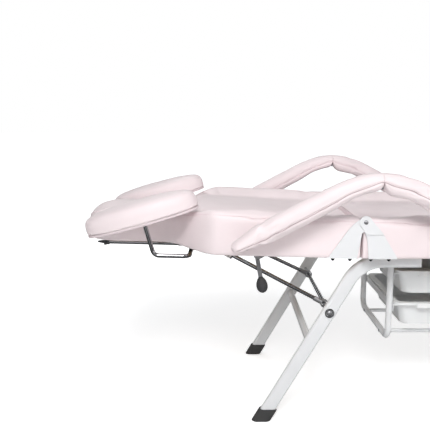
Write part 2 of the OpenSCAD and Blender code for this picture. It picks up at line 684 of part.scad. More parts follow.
// Flat bar of the front half: a crank from the pivot eye into the padding, then along it
arm_spine = [arm_a, pad_point(70), pad_point(pad_straight), arm_c];
function pad_point(s) = let (c = pad_centre(s)) [c[0] + 7 * sin(c[2]), c[1] - 7 * cos(c[2])];
module arm_bar_2d() {
    for (i = [0:2]) let (p = arm_spine[i], q = arm_spine[i + 1])
        translate(p) rotate(atan2(q.y - p.y, q.x - p.x)) translate([0, -arm_bar_w / 2])
            square([norm(q - p), arm_bar_w]);
    for (i = [0:3]) translate(arm_spine[i]) circle(d = arm_bar_w + (i == 1 || i == 2 ? 1.5 : 5));
}
module to_rear() translate([2 * arm_c.x, 0, 0]) mirror([1, 0, 0]) children();
module arm_bar(y) translate([0, -y, 0]) plate_xz(arm_bar_t) arm_bar_2d();
arm_bar_gap = arm_bar_t + 0.5;
module arm_front_bar() color(ZINC) difference() {
    arm_bar(arm_y);
    for (e = [arm_a, arm_c]) translate([e.x, -arm_y - 10, e.y]) rod_y(20, 10 + 2 * fit);
}
// The rear bar carries the apex pin and, at its free end, the head of the rear pivot
module arm_rear_bar() color(ZINC) {
    to_rear() arm_bar(arm_y - arm_bar_gap);
    translate([arm_c.x, -arm_y - arm_bar_t / 2 - 0.5, arm_c.y]) {
        rod_y(arm_bar_t + 1.5, 10);
        translate([0, -4, 0]) rod_y(4, 16);
    }
    translate([arm_b.x, -arm_y + arm_bar_gap - arm_bar_t / 2 - 4, arm_b.y]) rod_y(4.5, 18);
}

module arm_pad_solid(rear) {
    ends = [for (a = [15:25:90]) [-42 + 22 * (1 - cos(a)), sin(a)]];
    apex_steps = [for (d = [135, 105, 78, 54, 34, 20, 9, 0]) pad_len - d];
    body = [for (s = concat([8, 32, 62, 130, 220], apex_steps)) [s, 1]];
    translate([0, -arm_y, 0]) loft([for (e = concat(ends, body))
        pad_ring(e[0], e[1], rear ? rear_low(pad_len - e[0]) : front_low(pad_len - e[0]))]);
}
// Half of the padding, cut back under the apex so that the arm can fold
module arm_pad_half(bar_y, rear) difference() {
    arm_pad_solid(rear);
    translate([0, -arm_y, 0]) plate_xz(80)
        polygon([[arm_c.x - 0.3, arm_c.y + 60], [arm_c.x - 0.3, arm_c.y], [arm_c.x - 13, arm_c.y - 60],
            [arm_c.x + 60, arm_c.y - 60], [arm_c.x + 60, arm_c.y + 60]]);
    // room for the bar, its eyes and the pivots
    arm_bar(bar_y);
    translate([arm_a.x, -arm_y - 9, arm_a.y]) rod_y(40, 27);
    translate([arm_c.x, -arm_y - 9, arm_c.y]) rod_y(20, 27);
}
module arm_front_pad() color(PINK) arm_pad_half(arm_y, false);
module arm_rear_pad() color(PINK) to_rear() arm_pad_half(arm_y - arm_bar_gap, true);

// ---------- sliding foot rests ----------

module foot_rails() color(CHROME) seat_frame() both_sides()
    translate([rail_span[0] + rail_cap, -rail_y, rail_w])
        rod_x(rail_span[1] - rail_span[0] - rail_cap, rod_d);

// Front collars with their tips and rear hangers hold the rails under the board
module foot_rail_brackets() color(BLACK) seat_frame() both_sides() {
    difference() {
        translate([rail_span[0], -rail_y, rail_w]) {
            rotate([0, 90, 0]) rotate_extrude()
                polygon([[0, 0], [2.5, 0], [5.5, 18], [10, 19], [10, 25], [8.5, 26], [8.5, 34], [0, 34]]);
            translate([19, -8, 0]) cube([15, 16, -rail_w]);
        }
        translate([rail_span[0] + rail_cap, -rail_y, rail_w]) rod_x(40, rod_d + 0.02);
    }
    translate([rail_span[1] - 8, -rail_y - 8, -22]) difference() {
        cube([8, 16, 22]);
        translate([-1, 8, 22 + rail_w]) rod_x(10, rod_d + 0.02);
    }
}

// Slider block on the rail
rod_out_x = block_x + 40;
rod_low = -25;                      // height of the level runs below the seat underside
module foot_carriage() color(BLACK) seat_frame() translate([block_x, -rail_y, 0]) difference() {
    translate([0, -13, -33]) cube([block_l, 26, 31.5]);
    translate([-1, 0, rail_w]) rod_x(block_l + 2, rod_d + 2 * fit);
    translate([rod_out_x - block_x, -14, rod_low]) rod_y(9, rod_d);
}

// A point of the x-z plane in the seat's own frame
function in_seat(p) = let (x = p.x, z = p.y - under_z)
    [x * cos(seat_rise) - z * sin(seat_rise), x * sin(seat_rise) + z * cos(seat_rise)];

// Bent rod: out of the block, forward under the pad and square up into its base
foot_bend_r = 20;
pad_lean = foot_pad_tilt + seat_rise;
pad_centre_s = in_seat(foot_pad_at);
rod_rise = (pad_centre_s.y - rod_low) / cos(pad_lean);
rod_in_x = pad_centre_s.x + rod_rise * sin(pad_lean);
module foot_rod() color(CHROME) seat_frame() {
    r = foot_bend_r;
    a = 90 - pad_lean;
    t = r * tan(a / 2);
    translate([rod_out_x, -foot_pad_y + r, rod_low]) rod_y(foot_pad_y - r - rail_y - 5, rod_d);
    translate([rod_out_x - r, -foot_pad_y + r, rod_low]) rotate([0, 0, -90])
        rotate_extrude(angle = 90) translate([r, 0]) circle(d = rod_d);
    translate([rod_in_x + t, -foot_pad_y, rod_low]) rod_x(rod_out_x - r - rod_in_x - t, rod_d);
    translate([rod_in_x + t, -foot_pad_y, rod_low + r]) rotate([-90, 0, 0]) {
        rotate([0, 0, 90]) rotate_extrude(angle = a) translate([r, 0]) circle(d = rod_d);
        rotate([0, 0, 90 + a]) translate([r, rod_rise - t + 2, 0]) rotate([90, 0, 0])
            cylinder(h = rod_rise - t + 2, d = rod_d);
    }
}

module pad_frame() translate([foot_pad_at.x, -foot_pad_y, foot_pad_at.y])
    rotate([0, -foot_pad_tilt, 0]) children();

module foot_pad_base() color(WHITE) pad_frame() difference() {
    union() {
        linear_extrude(6) ellipse_poly(foot_pad_l - 6, foot_pad_w - 6);
        translate([0, 0, -10]) cylinder(h = 10, d = 34);
    }
    translate([0, 0, -12]) cylinder(h = 14, d = rod_d);
}
function ellipse_points(l, w, n) = [for (i = [0:n - 1]) let (t = i * 360 / n)
    [l / 2 * sign(cos(t)) * pow(abs(cos(t)), 0.86), w / 2 * sign(sin(t)) * pow(abs(sin(t)), 0.92)]];
module ellipse_poly(l, w) polygon(ellipse_points(l, w, 48));

// Domed pad on the base
pad_levels = [[6.3, 0.955], [11, 0.99], [22, 1], [36, 0.988], [46, 0.95], [53, 0.875],
    [59, 0.71], [62.5, 0.45], [64, 0.2]];
module foot_pad() color(PINK) pad_frame()
    loft([for (i = [len(pad_levels) - 1:-1:0]) let (z = pad_levels[i][0], k = pad_levels[i][1])
        [for (p = ellipse_points(foot_pad_l, foot_pad_w, 32)) [p.x * k, p.y * k, z]]]);

// ---------- under the back ----------

module back_underframe() color(WHITE) {
    both_sides() translate([75, -100 - 12.5, under_z - 15]) difference() {
        cube([640, 25, 15]);
        translate([-1, 2, 2]) cube([642, 21, 11]);
    }
    for (x = [strut_top.x + 14, 690]) translate([x, -90, under_z - 15]) cube([25, 180, 15]);
    // ears at the upper end of the strut, which stands beside them
    for (s = [-1, 1]) translate([0, s * 15.5, 0]) {
        plate_xz(5) {
            polygon([[strut_top.x - 4, strut_top.y + 11], [strut_top.x + 24, under_z - 1],
                [strut_top.x + 39, under_z - 1], [strut_top.x + 5, strut_top.y - 11]]);
            translate(strut_top) circle(d = 24);
        }
    }
    both_sides() translate([strut_top.x, -22, strut_top.y]) rod_y(5, 16);
    // bearing of the release lever
    translate([strut_top.x + 13, -235, under_z - 3]) cube([24, 50, 3]);
    for (y = [-190, -235]) translate([back_lever.x, y, 0]) difference() {
        translate([-9, 0, under_z - 24]) cube([18, 5, 22]);
        translate([0, -1, back_lever.y]) rod_y(7, 10 + 2 * fit);
    }
}

// Telescopic lock strut: its housing turns on the tail of the seat underframe
module back_strut_housing() color(BLACK) along(strut_low, strut_top, 0) difference() {
    union() {
        translate([0, -13, 0]) rod_y(26, 22);
        translate([8, 0, 0]) rod_x(250, 22);
        translate([0, -20, 0]) rod_y(40, 10);
    }
    translate([24, 0, 0]) rod_x(250, 10 + 2 * fit);
}
module back_strut_rod() color(CHROME) along(strut_low, strut_top, 0) {
    translate([60, 0, 0]) rod_x(strut_l - 66, 10);
    translate([strut_l, -12.5, 0]) difference() {
        rod_y(25, 20);
        translate([0, -1, 0]) rod_y(27, 8);
    }
}
module back_release_lever() color(BLACK) translate([back_lever.x, -262, back_lever.y]) {
    rod_y(78, 10);
    translate([-8, -4, -7]) cube([70, 7, 12]);
    translate([0, 78, 0]) rod_y(3, 15);
}

// ---------- assembly ----------

module chair() translate([hinge_x, 0, 0]) children();

chair() left() front_leg();  // front_leg_left
chair() right() front_leg();  // front_leg_right
chair() left() rear_leg();  // rear_leg_left
chair() right() rear_leg();  // rear_leg_right
chair() leg_end_plugs();
chair() front_crossmember();
chair() frame_links();
chair() cross_bars();
chair() rear_floor_bar();
chair() rubber_feet();
chair() strut_shaft();
chair() shaft_bolts();
chair() tilt_pins();
chair() rack_hoops();
chair() rack_runners();
chair() rack_base_rails();
chair() rack_screws();
chair() upper_tray();
chair() lower_tray();
chair() left() strut_rod();  // strut_rod_left
chair() left() strut_eye();  // strut_eye_left
chair() right() strut_rod();  // strut_rod_right
chair() right() strut_eye();  // strut_eye_right
chair() strut_clamps();
chair() seat_cushion();
chair() seat_board();
chair() seat_underframe();
chair() seat_hinge_plates();
chair() seat_plate_screws();
chair() arm_front_pivots();
chair() foot_rails();
chair() foot_rail_brackets();
chair() release_lever();
chair() lever_knob();
chair() left() foot_carriage();  // foot_carriage_left
chair() left() foot_rod();  // foot_rod_left
chair() left() foot_pad_base();  // foot_pad_base_left
chair() left() foot_pad();  // foot_pad_left
chair() right() foot_carriage();  // foot_carriage_right
chair() right() foot_rod();  // foot_rod_right
chair() right() foot_pad_base();  // foot_pad_base_right
chair() right() foot_pad();  // foot_pad_right
chair() back_cushion();
chair() back_board();
chair() back_underframe();
chair() back_hinge_plates();
chair() back_plate_screws();
chair() hinge_bolts();
chair() arm_rear_pivots();
chair() back_strut_housing();
chair() back_strut_rod();
chair() back_release_lever();
chair() left() arm_front_bar();  // arm_front_bar_left
chair() left() arm_front_pad();  // arm_front_pad_left
chair() left() arm_rear_bar();  // arm_rear_bar_left
chair() left() arm_rear_pad();  // arm_rear_pad_left
chair() right() arm_front_bar();  // arm_front_bar_right
chair() right() arm_front_pad();  // arm_front_pad_right
chair() right() arm_rear_bar();  // arm_rear_bar_right
chair() right() arm_rear_pad();  // arm_rear_pad_right
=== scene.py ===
"""Pedicure spa chair: upholstery, finishes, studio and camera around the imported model."""

import json
import logging
import math
from abc import ABC, abstractmethod
from collections.abc import Callable, Iterable, Sequence
from dataclasses import dataclass, field
from enum import Enum

import bmesh
import bpy
from mathutils import Matrix, Vector
from mathutils.bvhtree import BVHTree
from mathutils.kdtree import KDTree

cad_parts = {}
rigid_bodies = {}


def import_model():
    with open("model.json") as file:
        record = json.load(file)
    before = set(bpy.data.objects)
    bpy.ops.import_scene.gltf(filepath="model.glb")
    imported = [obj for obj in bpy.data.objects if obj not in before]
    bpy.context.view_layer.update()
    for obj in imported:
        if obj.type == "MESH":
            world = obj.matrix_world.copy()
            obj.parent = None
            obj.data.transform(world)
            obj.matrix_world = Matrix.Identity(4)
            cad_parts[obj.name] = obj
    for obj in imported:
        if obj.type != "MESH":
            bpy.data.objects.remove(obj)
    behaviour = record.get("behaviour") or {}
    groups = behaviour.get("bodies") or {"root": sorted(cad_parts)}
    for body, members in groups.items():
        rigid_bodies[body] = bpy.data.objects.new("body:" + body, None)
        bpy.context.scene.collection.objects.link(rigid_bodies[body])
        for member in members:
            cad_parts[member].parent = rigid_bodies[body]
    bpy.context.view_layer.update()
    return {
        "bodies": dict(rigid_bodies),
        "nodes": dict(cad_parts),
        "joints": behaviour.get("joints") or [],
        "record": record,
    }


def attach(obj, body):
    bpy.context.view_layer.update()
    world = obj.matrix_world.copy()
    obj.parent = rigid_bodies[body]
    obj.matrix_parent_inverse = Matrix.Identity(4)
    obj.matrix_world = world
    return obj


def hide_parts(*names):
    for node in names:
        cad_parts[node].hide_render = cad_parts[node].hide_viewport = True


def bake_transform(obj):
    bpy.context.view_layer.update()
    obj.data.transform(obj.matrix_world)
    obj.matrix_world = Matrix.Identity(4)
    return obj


log = logging.getLogger("spa_chair")

Ring = list[Vector]
Point = tuple[float, float, float]

HINGE_X = -101.2
SEAM_Z = 600.0
CUSHION_T = 101.0
UNDER_Z = SEAM_Z - CUSHION_T
SEAT_RISE = math.radians(1.4)


class Side(Enum):
    """The sitter's side; the left one is nearer to the camera."""

    LEFT = -1
    RIGHT = 1

    @property
    def tag(self) -> str:
        """Ending of this side's node names."""
        return self.name.lower()


class Gloss(Enum):
    """Surface texture of a moulded or painted part."""

    SMOOTH = "smooth"
    SATIN = "satin"
    TEXTURED = "textured"


# ---------------------------------------------------------------- small maths


def mix(a: float, b: float, t: float) -> float:
    """Value between a and b."""
    return a + (b - a) * t


def ease(t: float) -> float:
    """Smooth step from 0 to 1."""
    c = min(1.0, max(0.0, t))
    return c * c * (3 - 2 * c)


def round_in(d: float, r: float) -> float:
    """How far a quarter-round edge of radius r lies in at distance d from its end."""
    return 0.0 if d >= r else r - math.sqrt(max(0.0, r * r - (r - d) ** 2))


def tip(d: float, r: float, n: float) -> float:
    """Half-width factor of a rounded plan end, 0 at its tip."""
    return 1.0 if d >= r else max(0.0, 1 - ((r - d) / r) ** n) ** (1 / n)


def place(x: float, y: float, z: float) -> Vector:
    """A point measured from the hinge pin in millimetres, in the model's metres."""
    return Vector(((x + HINGE_X) / 1000, y / 1000, z / 1000))


def seat_place(x: float, y: float, z: float) -> Vector:
    """A point of the seat's own frame, z from its underside, in the model's metres."""
    c, s = math.cos(SEAT_RISE), math.sin(SEAT_RISE)
    return place(x * c + z * s, y, UNDER_Z - x * s + z * c)


def wave(p: Vector, seed: float) -> float:
    """A slow repeatable ripple between -1 and 1 at a place, for hand-sewn unevenness."""
    return (
        math.sin(p.x * 23.1 + seed) * math.cos(p.y * 31.7 - seed * 1.7)
        + 0.6 * math.sin(p.x * 57.3 - p.y * 41.9 + p.z * 37.0 + seed * 2.3)
    ) / 1.6


# ---------------------------------------------------------------- mesh helpers


def clear_selection() -> None:
    """Leave nothing selected, so that an operator acts on its own piece alone."""
    bpy.ops.object.select_all(action="DESELECT")


def pick(obj: bpy.types.Object) -> None:
    """Make obj the only selected and active object."""
    clear_selection()
    obj.select_set(True)
    bpy.context.view_layer.objects.active = obj


def add_object(name: str, mesh: bpy.types.Mesh) -> bpy.types.Object:
    """Link a mesh as a new object at the origin."""
    obj = bpy.data.objects.new(name, mesh)
    bpy.context.collection.objects.link(obj)
    return obj


def loft(name: str, rings: Sequence[Ring], close: bool = False) -> bpy.types.Object:
    """Quads through rings of the same number of points, with filled ends.

    Args:
        name: Name of the new object.
        rings: Closed rings in order.
        close: Join the last ring to the first instead of filling the ends.

    Returns:
        The new object, with its normals pointing outwards.
    """
    bm = bmesh.new()
    rows = [[bm.verts.new(p) for p in ring] for ring in rings]
    n = len(rows[0])
    pairs = list(zip(rows, rows[1:]))
    if close:
        pairs.append((rows[-1], rows[0]))
    for low, high in pairs:
        for j in range(n):
            k = (j + 1) % n
            bm.faces.new((low[j], low[k], high[k], high[j]))
    if not close:
        for ring in (rows[0], rows[-1]):
            cap_ring(bm, ring)
    bmesh.ops.recalc_face_normals(bm, faces=bm.faces)
    mesh = bpy.data.meshes.new(name)
    bm.to_mesh(mesh)
    bm.free()
    return add_object(name, mesh)


def cap_ring(bm: bmesh.types.BMesh, ring: Sequence[bmesh.types.BMVert]) -> None:
    """Fill a ring that is symmetric about its first and middle point with a ladder of quads."""
    n = len(ring)
    half = n // 2
    for i in range(1, half):
        a, b = ring[i - 1 if i > 1 else 0], ring[i]
        c, d = ring[(n - i) % n], ring[(n - i + 1) % n]
        corners = [v for k, v in enumerate((a, b, c, d)) if v not in (a, b, c, d)[:k]]
        if len(corners) > 2:
            bm.faces.new(corners)
    last = [ring[half - 1], ring[half], ring[(n - half + 1) % n]]
    if len(set(last)) == 3:
        bm.faces.new(last)


def apply_modifiers(obj: bpy.types.Object) -> None:
    """Apply every modifier of obj in order."""
    pick(obj)
    for m in list(obj.modifiers):
        bpy.ops.object.modifier_apply(modifier=m.name)


def subdivide(obj: bpy.types.Object, levels: int) -> None:
    """Round obj with an applied Subdivision Surface."""
    m = obj.modifiers.new("round", "SUBSURF")
    m.levels = m.render_levels = levels
    apply_modifiers(obj)


def smooth(obj: bpy.types.Object, angle: float = 40.0) -> None:
    """Smooth shading, with edges sharper than angle kept crisp."""
    pick(obj)
    bpy.ops.object.shade_smooth_by_angle(angle=math.radians(angle))


def tube(name: str, path: Sequence[Vector], radius: float, closed: bool = False) -> bpy.types.Object:
    """A thin round welt along a path, made a mesh.

    Args:
        name: Name of the new object.
        path: Points that it follows, in metres.
        radius: Its radius in metres.
        closed: Whether it runs back to its start.

    Returns:
        The new mesh object.
    """
    curve = bpy.data.curves.new(name, "CURVE")
    curve.dimensions = "3D"
    curve.bevel_depth = radius
    curve.bevel_resolution = 2
    curve.use_fill_caps = True
    line = curve.splines.new("POLY")
    line.points.add(len(path) - 1)
    for point, p in zip(line.points, path):
        point.co = (*p, 1)
    line.use_cyclic_u = closed
    obj = bpy.data.objects.new(name, curve)
    bpy.context.collection.objects.link(obj)
    pick(obj)
    bpy.ops.object.convert(target="MESH")
    done = bpy.context.view_layer.objects.active
    smooth(done, 60)
    return done


def snap(path: Iterable[Vector], onto: bpy.types.Object, lift: float = 0.0) -> list[Vector]:
    """Move points onto the nearest place of a finished surface.

    Args:
        path: Points near the surface.
        onto: Object whose mesh they are laid on.
        lift: Height above the surface in metres.

    Returns:
        The points on the surface.
    """
    bm = bmesh.new()
    bm.from_mesh(onto.data)
    tree = BVHTree.FromBMesh(bm)
    bm.free()
    out = []
    for p in path:
        hit, normal, _, _ = tree.find_nearest(p)
        out.append(hit + normal * lift)
    for _ in range(8):
        out = [out[0]] + [(a + 2 * b + c) / 4 for a, b, c in zip(out, out[1:], out[2:])] + [out[-1]]
    return out


def press_line(obj: bpy.types.Object, path: Sequence[Vector], width: float, depth: float) -> None:
    """Sink a sewn line into a surface.

    Args:
        obj: Piece that is sewn.
        path: Points along the seam, close together.
        width: Reach of the dip on each side, in metres.
        depth: Depth of the dip in metres.
    """
    tree = KDTree(len(path))
    for i, p in enumerate(path):
        tree.insert(p, i)
    tree.balance()
    normals = [v.normal.copy() for v in obj.data.vertices]
    for v, n in zip(obj.data.vertices, normals):
        _, _, d = tree.find(v.co)
        if d < width:
            v.co -= n * depth * (1 - ease(d / width))


def ruffle(obj: bpy.types.Object, depth: float, seed: float) -> None:
    """Give a sewn surface a slow unevenness of the given depth in metres."""
    normals = [v.normal.copy() for v in obj.data.vertices]
    for v, n in zip(obj.data.vertices, normals):
        v.co += n * depth * wave(v.co, seed)


@dataclass(frozen=True)
class Padding:
    """How a sewn cover is blown up over its foam.

    Attributes:
        pressure: Pressure of the foam.
        stiff: Resistance of the cover to bending.
        slack: Share by which the cover is cut larger than the foam.
        inset: How far the foam starts inside the finished cover, in metres.
        cap: The most that a point of the cover may move, in metres.
        frames: Steps of the simulation.
    """

    pressure: float = 4.0
    stiff: float = 1.5
    slack: float = 0.008
    inset: float = 0.003
    cap: float = 0.006
    frames: int = 20

    def fill(self, obj: bpy.types.Object, held: Callable[[Vector], float]) -> None:
        """Turn a piece into cloth and let the foam press it out.

        Args:
            obj: Closed piece, a little smaller than the finished one.
            held: How firmly the cover is sewn or stapled down at a place, 0 to 1.
        """
        self.press_out(obj, held)
        subdivide(obj, 1)

    def press_out(self, obj: bpy.types.Object, held: Callable[[Vector], float]) -> None:
        """Run the cloth simulation and keep its result in the mesh."""
        group = obj.vertex_groups.new(name="held")
        normals = [v.normal.copy() for v in obj.data.vertices]
        for v, n in zip(obj.data.vertices, normals):
            firm = held(v.co)
            group.add([v.index], firm, "REPLACE")
            v.co -= n * self.inset * (1 - firm)
        start = [v.co.copy() for v in obj.data.vertices]
        cloth = obj.modifiers.new("cover", "CLOTH")
        s = cloth.settings
        s.quality = 4
        s.mass = 0.3
        s.tension_stiffness = s.compression_stiffness = 25
        s.shear_stiffness = 12
        s.bending_stiffness = self.stiff
        s.shrink_min = -self.slack
        s.use_pressure = True
        s.uniform_pressure_force = self.pressure
        s.vertex_group_mass = group.name
        s.effector_weights.gravity = 0
        cloth.collision_settings.use_collision = False
        cloth.point_cache.frame_end = self.frames
        scene = bpy.context.scene
        for frame in range(1, self.frames + 1):
            scene.frame_set(frame)
        done = obj.evaluated_get(bpy.context.evaluated_depsgraph_get())
        moved = [v.co.copy() for v in done.data.vertices]
        obj.modifiers.remove(cloth)
        obj.vertex_groups.clear()
        for v, a, b in zip(obj.data.vertices, start, moved):
            step = b - a
            if step.length > self.cap:
                step *= self.cap / step.length
            v.co = a + step
        scene.frame_set(1)


# ---------------------------------------------------------------- finishes


@dataclass(frozen=True)
class Finish:
    """A named material whose nodes are built once.

    Attributes:
        name: Material name.
        colour: Linear base colour.
        roughness: Mean roughness.
    """

    name: str
    colour: tuple[float, float, float]
    roughness: float = 0.5

    def material(self) -> bpy.types.Material:
        """Return the material, building it on first use."""
        made = bpy.data.materials.get(self.name)
        if made:
            return made
        made = bpy.data.materials.new(self.name)
        made.use_nodes = True
        tree = made.node_tree
        tree.nodes.clear()
        out = tree.nodes.new("ShaderNodeOutputMaterial")
        shader = tree.nodes.new("ShaderNodeBsdfPrincipled")
        tree.links.new(shader.outputs["BSDF"], out.inputs["Surface"])
        shader.inputs["Base Color"].default_value = (*self.colour, 1)
        shader.inputs["Roughness"].default_value = self.roughness
        made.diffuse_color = (*self.colour, 1)
        self.build(tree, shader)
        return made

    def build(self, tree: bpy.types.NodeTree, shader: bpy.types.Node) -> None:
        """Add this finish's own nodes."""

    def dress(self, *nodes: bpy.types.Object) -> None:
        """Give objects this finish in every slot."""
        material = self.material()
        for obj in nodes:
            if not obj.data.materials:
                obj.data.materials.append(material)
            for i in range(len(obj.data.materials)):
                obj.data.materials[i] = material


class NodeKit:
    """Short ways to lay out shader nodes on one tree."""

    def __init__(self, tree: bpy.types.NodeTree) -> None:
        """Start with the object's own coordinates."""
        self.tree = tree
        self.coords = tree.nodes.new("ShaderNodeTexCoord").outputs["Object"]

    def add(self, kind: str, **values: object) -> bpy.types.Node:
        """Add a node and set its properties or input defaults by name."""
        node = self.tree.nodes.new(kind)
        for key, value in values.items():
            label = key.replace("_", " ").title()
            if label in node.inputs:
                node.inputs[label].default_value = value
            else:
                setattr(node, key, value)
        return node

    def link(self, a: bpy.types.NodeSocket, b: bpy.types.NodeSocket) -> None:
        """Connect two sockets."""
        self.tree.links.new(a, b)

    def mapped(self, scale: tuple[float, float, float]) -> bpy.types.NodeSocket:
        """Object coordinates stretched by scale."""
        node = self.add("ShaderNodeMapping")
        node.inputs["Scale"].default_value = scale
        self.link(self.coords, node.inputs["Vector"])
        return node.outputs["Vector"]

    def noise(
        self, scale: float, detail: float = 4, rough: float = 0.5, vector: bpy.types.NodeSocket | None = None
    ) -> bpy.types.NodeSocket:
        """Noise value at a scale in waves per metre."""
        node = self.add("ShaderNodeTexNoise", scale=scale, detail=detail, roughness=rough)
        self.link(vector or self.coords, node.inputs["Vector"])
        return node.outputs["Fac"]

    def cells(self, scale: float, feature: str = "DISTANCE_TO_EDGE") -> bpy.types.NodeSocket:
        """Cell pattern, such as grain, at a scale in cells per metre."""
        node = self.add("ShaderNodeTexVoronoi", scale=scale)
        node.feature = feature
        self.link(self.coords, node.inputs["Vector"])
        return node.outputs["Distance"]

    def spread(
        self, value: bpy.types.NodeSocket, low: float, high: float, to_low: float, to_high: float
    ) -> bpy.types.NodeSocket:
        """Map a value from one range to another."""
        node = self.add("ShaderNodeMapRange")
        for key, number in (("From Min", low), ("From Max", high), ("To Min", to_low), ("To Max", to_high)):
            node.inputs[key].default_value = number
        self.link(value, node.inputs["Value"])
        return node.outputs["Result"]

    def blend(self, fac: bpy.types.NodeSocket, a: Sequence[float], b: Sequence[float]) -> bpy.types.NodeSocket:
        """Colour between a and b by a value."""
        node = self.add("ShaderNodeMix", data_type="RGBA")
        for s in node.inputs:
            if s.type == "RGBA":
                s.default_value = (*(a if s.name == "A" else b), 1)
        self.link(fac, node.inputs["Factor"])
        return next(s for s in node.outputs if s.type == "RGBA")

    def bump(
        self,
        height: bpy.types.NodeSocket,
        shader: bpy.types.Node,
        strength: float,
        depth: float,
        under: bpy.types.NodeSocket | None = None,
    ) -> bpy.types.NodeSocket:
        """Bump from a height, chained over another normal, into the shader."""
        node = self.add("ShaderNodeBump", strength=strength, distance=depth)
        self.link(height, node.inputs["Height"])
        if under:
            self.link(under, node.inputs["Normal"])
        self.link(node.outputs["Normal"], shader.inputs["Normal"])
        return node.outputs["Normal"]


@dataclass(frozen=True)
class Leatherette(Finish):
    """Soft coated upholstery with a fine pebble grain and faint stretch lines."""

    def build(self, tree: bpy.types.NodeTree, shader: bpy.types.Node) -> None:
        """Add tint drift, grain, stretch lines and an uneven sheen."""
        kit = NodeKit(tree)
        tint = kit.noise(3.5, 3, 0.6)
        dark = tuple(c * 0.93 for c in self.colour)
        kit.link(kit.blend(kit.spread(tint, 0.35, 0.65, 0, 1), dark, self.colour), shader.inputs["Base Color"])
        grain = kit.cells(620)
        pores = kit.noise(1400, 2, 0.6)
        stretch = kit.noise(9, 5, 0.62, kit.mapped((0.45, 1.0, 1.6)))
        n = kit.bump(stretch, shader, 0.35, 0.0035)
        n = kit.bump(grain, shader, 0.10, 0.0006, n)
        kit.bump(pores, shader, 0.06, 0.0003, n)
        sheen = kit.spread(kit.noise(26, 4), 0.3, 0.7, self.roughness - 0.06, self.roughness + 0.08)
        kit.link(sheen, shader.inputs["Roughness"])
        shader.inputs["Specular IOR Level"].default_value = 0.42
        shader.inputs["Sheen Weight"].default_value = 0.08
        shader.inputs["Sheen Roughness"].default_value = 0.4


@dataclass(frozen=True)
class PowderCoat(Finish):
    """Sprayed and baked paint with a faint orange peel."""

    def build(self, tree: bpy.types.NodeTree, shader: bpy.types.Node) -> None:
        """Add orange peel, handling marks and a clear gloss."""
        kit = NodeKit(tree)
        marks = kit.noise(14, 6, 0.65)
        worn = tuple(c * 0.9 for c in self.colour)
        kit.link(kit.blend(kit.spread(marks, 0.62, 0.8, 0, 0.7), self.colour, worn), shader.inputs["Base Color"])
        kit.bump(kit.noise(420, 2, 0.4), shader, 0.12, 0.0004)
        kit.link(kit.spread(marks, 0.3, 0.75, self.roughness, self.roughness + 0.14), shader.inputs["Roughness"])
        shader.inputs["Coat Weight"].default_value = 0.25
        shader.inputs["Coat Roughness"].default_value = 0.12


@dataclass(frozen=True)
class Chrome(Finish):
    """Bright plated rod with fine draw lines and small smudges."""

    def build(self, tree: bpy.types.NodeTree, shader: bpy.types.Node) -> None:
        """Add smudges and polishing scratches."""
        kit = NodeKit(tree)
        shader.inputs["Metallic"].default_value = 1.0
        smudge = kit.noise(60, 5, 0.7)
        dull = tuple(c * 0.86 for c in self.colour)
        kit.link(kit.blend(kit.spread(smudge, 0.45, 0.8, 0, 1), self.colour, dull), shader.inputs["Base Color"])
        kit.link(kit.spread(smudge, 0.45, 0.8, self.roughness, self.roughness + 0.08), shader.inputs["Roughness"])
        kit.bump(kit.noise(30, 2, 0.5, kit.mapped((0.2, 1, 1))), shader, 0.02, 0.0002)


@dataclass(frozen=True)
class BareMetal(Finish):
    """Zinc-plated steel with a dull, cloudy surface."""

    def build(self, tree: bpy.types.NodeTree, shader: bpy.types.Node) -> None:
        """Add cloudy plating and fine pits."""
        kit = NodeKit(tree)
        cloud = kit.noise(90, 5, 0.6)
        kit.link(kit.blend(cloud, tuple(c * 0.7 for c in self.colour), self.colour), shader.inputs["Base Color"])
        shader.inputs["Metallic"].default_value = 0.9
        kit.link(kit.spread(cloud, 0.3, 0.7, self.roughness - 0.08, self.roughness + 0.12), shader.inputs["Roughness"])
        kit.bump(kit.noise(1300, 2, 0.5), shader, 0.08, 0.0002)


@dataclass(frozen=True)
class Moulded(Finish):
    """Moulded plastic or rubber.

    Attributes:
        gloss: How the tool was finished.
        glow: Share of light that passes a little way into the wall.
    """

    gloss: Gloss = Gloss.SATIN
    glow: float = 0.0

    def build(self, tree: bpy.types.NodeTree, shader: bpy.types.Node) -> None:
        """Add the mould texture and flow marks."""
        kit = NodeKit(tree)
        flow = kit.noise(18, 4, 0.6)
        light = tuple(min(1.0, c * 1.06 + 0.004) for c in self.colour)
        kit.link(kit.blend(flow, tuple(c * 0.94 for c in self.colour), light), shader.inputs["Base Color"])
        fine = {Gloss.SMOOTH: (500, 0.02), Gloss.SATIN: (900, 0.10), Gloss.TEXTURED: (1500, 0.35)}[self.gloss]
        kit.bump(kit.noise(fine[0], 3, 0.6), shader, fine[1], 0.0005)
        kit.link(kit.spread(flow, 0.3, 0.7, self.roughness - 0.04, self.roughness + 0.1), shader.inputs["Roughness"])
        shader.inputs["Subsurface Weight"].default_value = self.glow
        shader.inputs["Subsurface Radius"].default_value = (0.02, 0.017, 0.010)
        if max(self.colour) < 0.05:
            shader.inputs["Specular IOR Level"].default_value = 0.18


@dataclass(frozen=True)
class Plywood(Finish):
    """Birch plywood seen from below."""

    def build(self, tree: bpy.types.NodeTree, shader: bpy.types.Node) -> None:
        """Add grain along X, darker rings and open pores."""
        kit = NodeKit(tree)
        rings = kit.noise(5, 6, 0.6, kit.mapped((0.35, 6, 6)))
        dark = tuple(c * 0.62 for c in self.colour)
        kit.link(kit.blend(kit.spread(rings, 0.38, 0.66, 0, 1), self.colour, dark), shader.inputs["Base Color"])
        kit.bump(kit.noise(60, 4, 0.7, kit.mapped((0.5, 12, 12))), shader, 0.25, 0.0006)


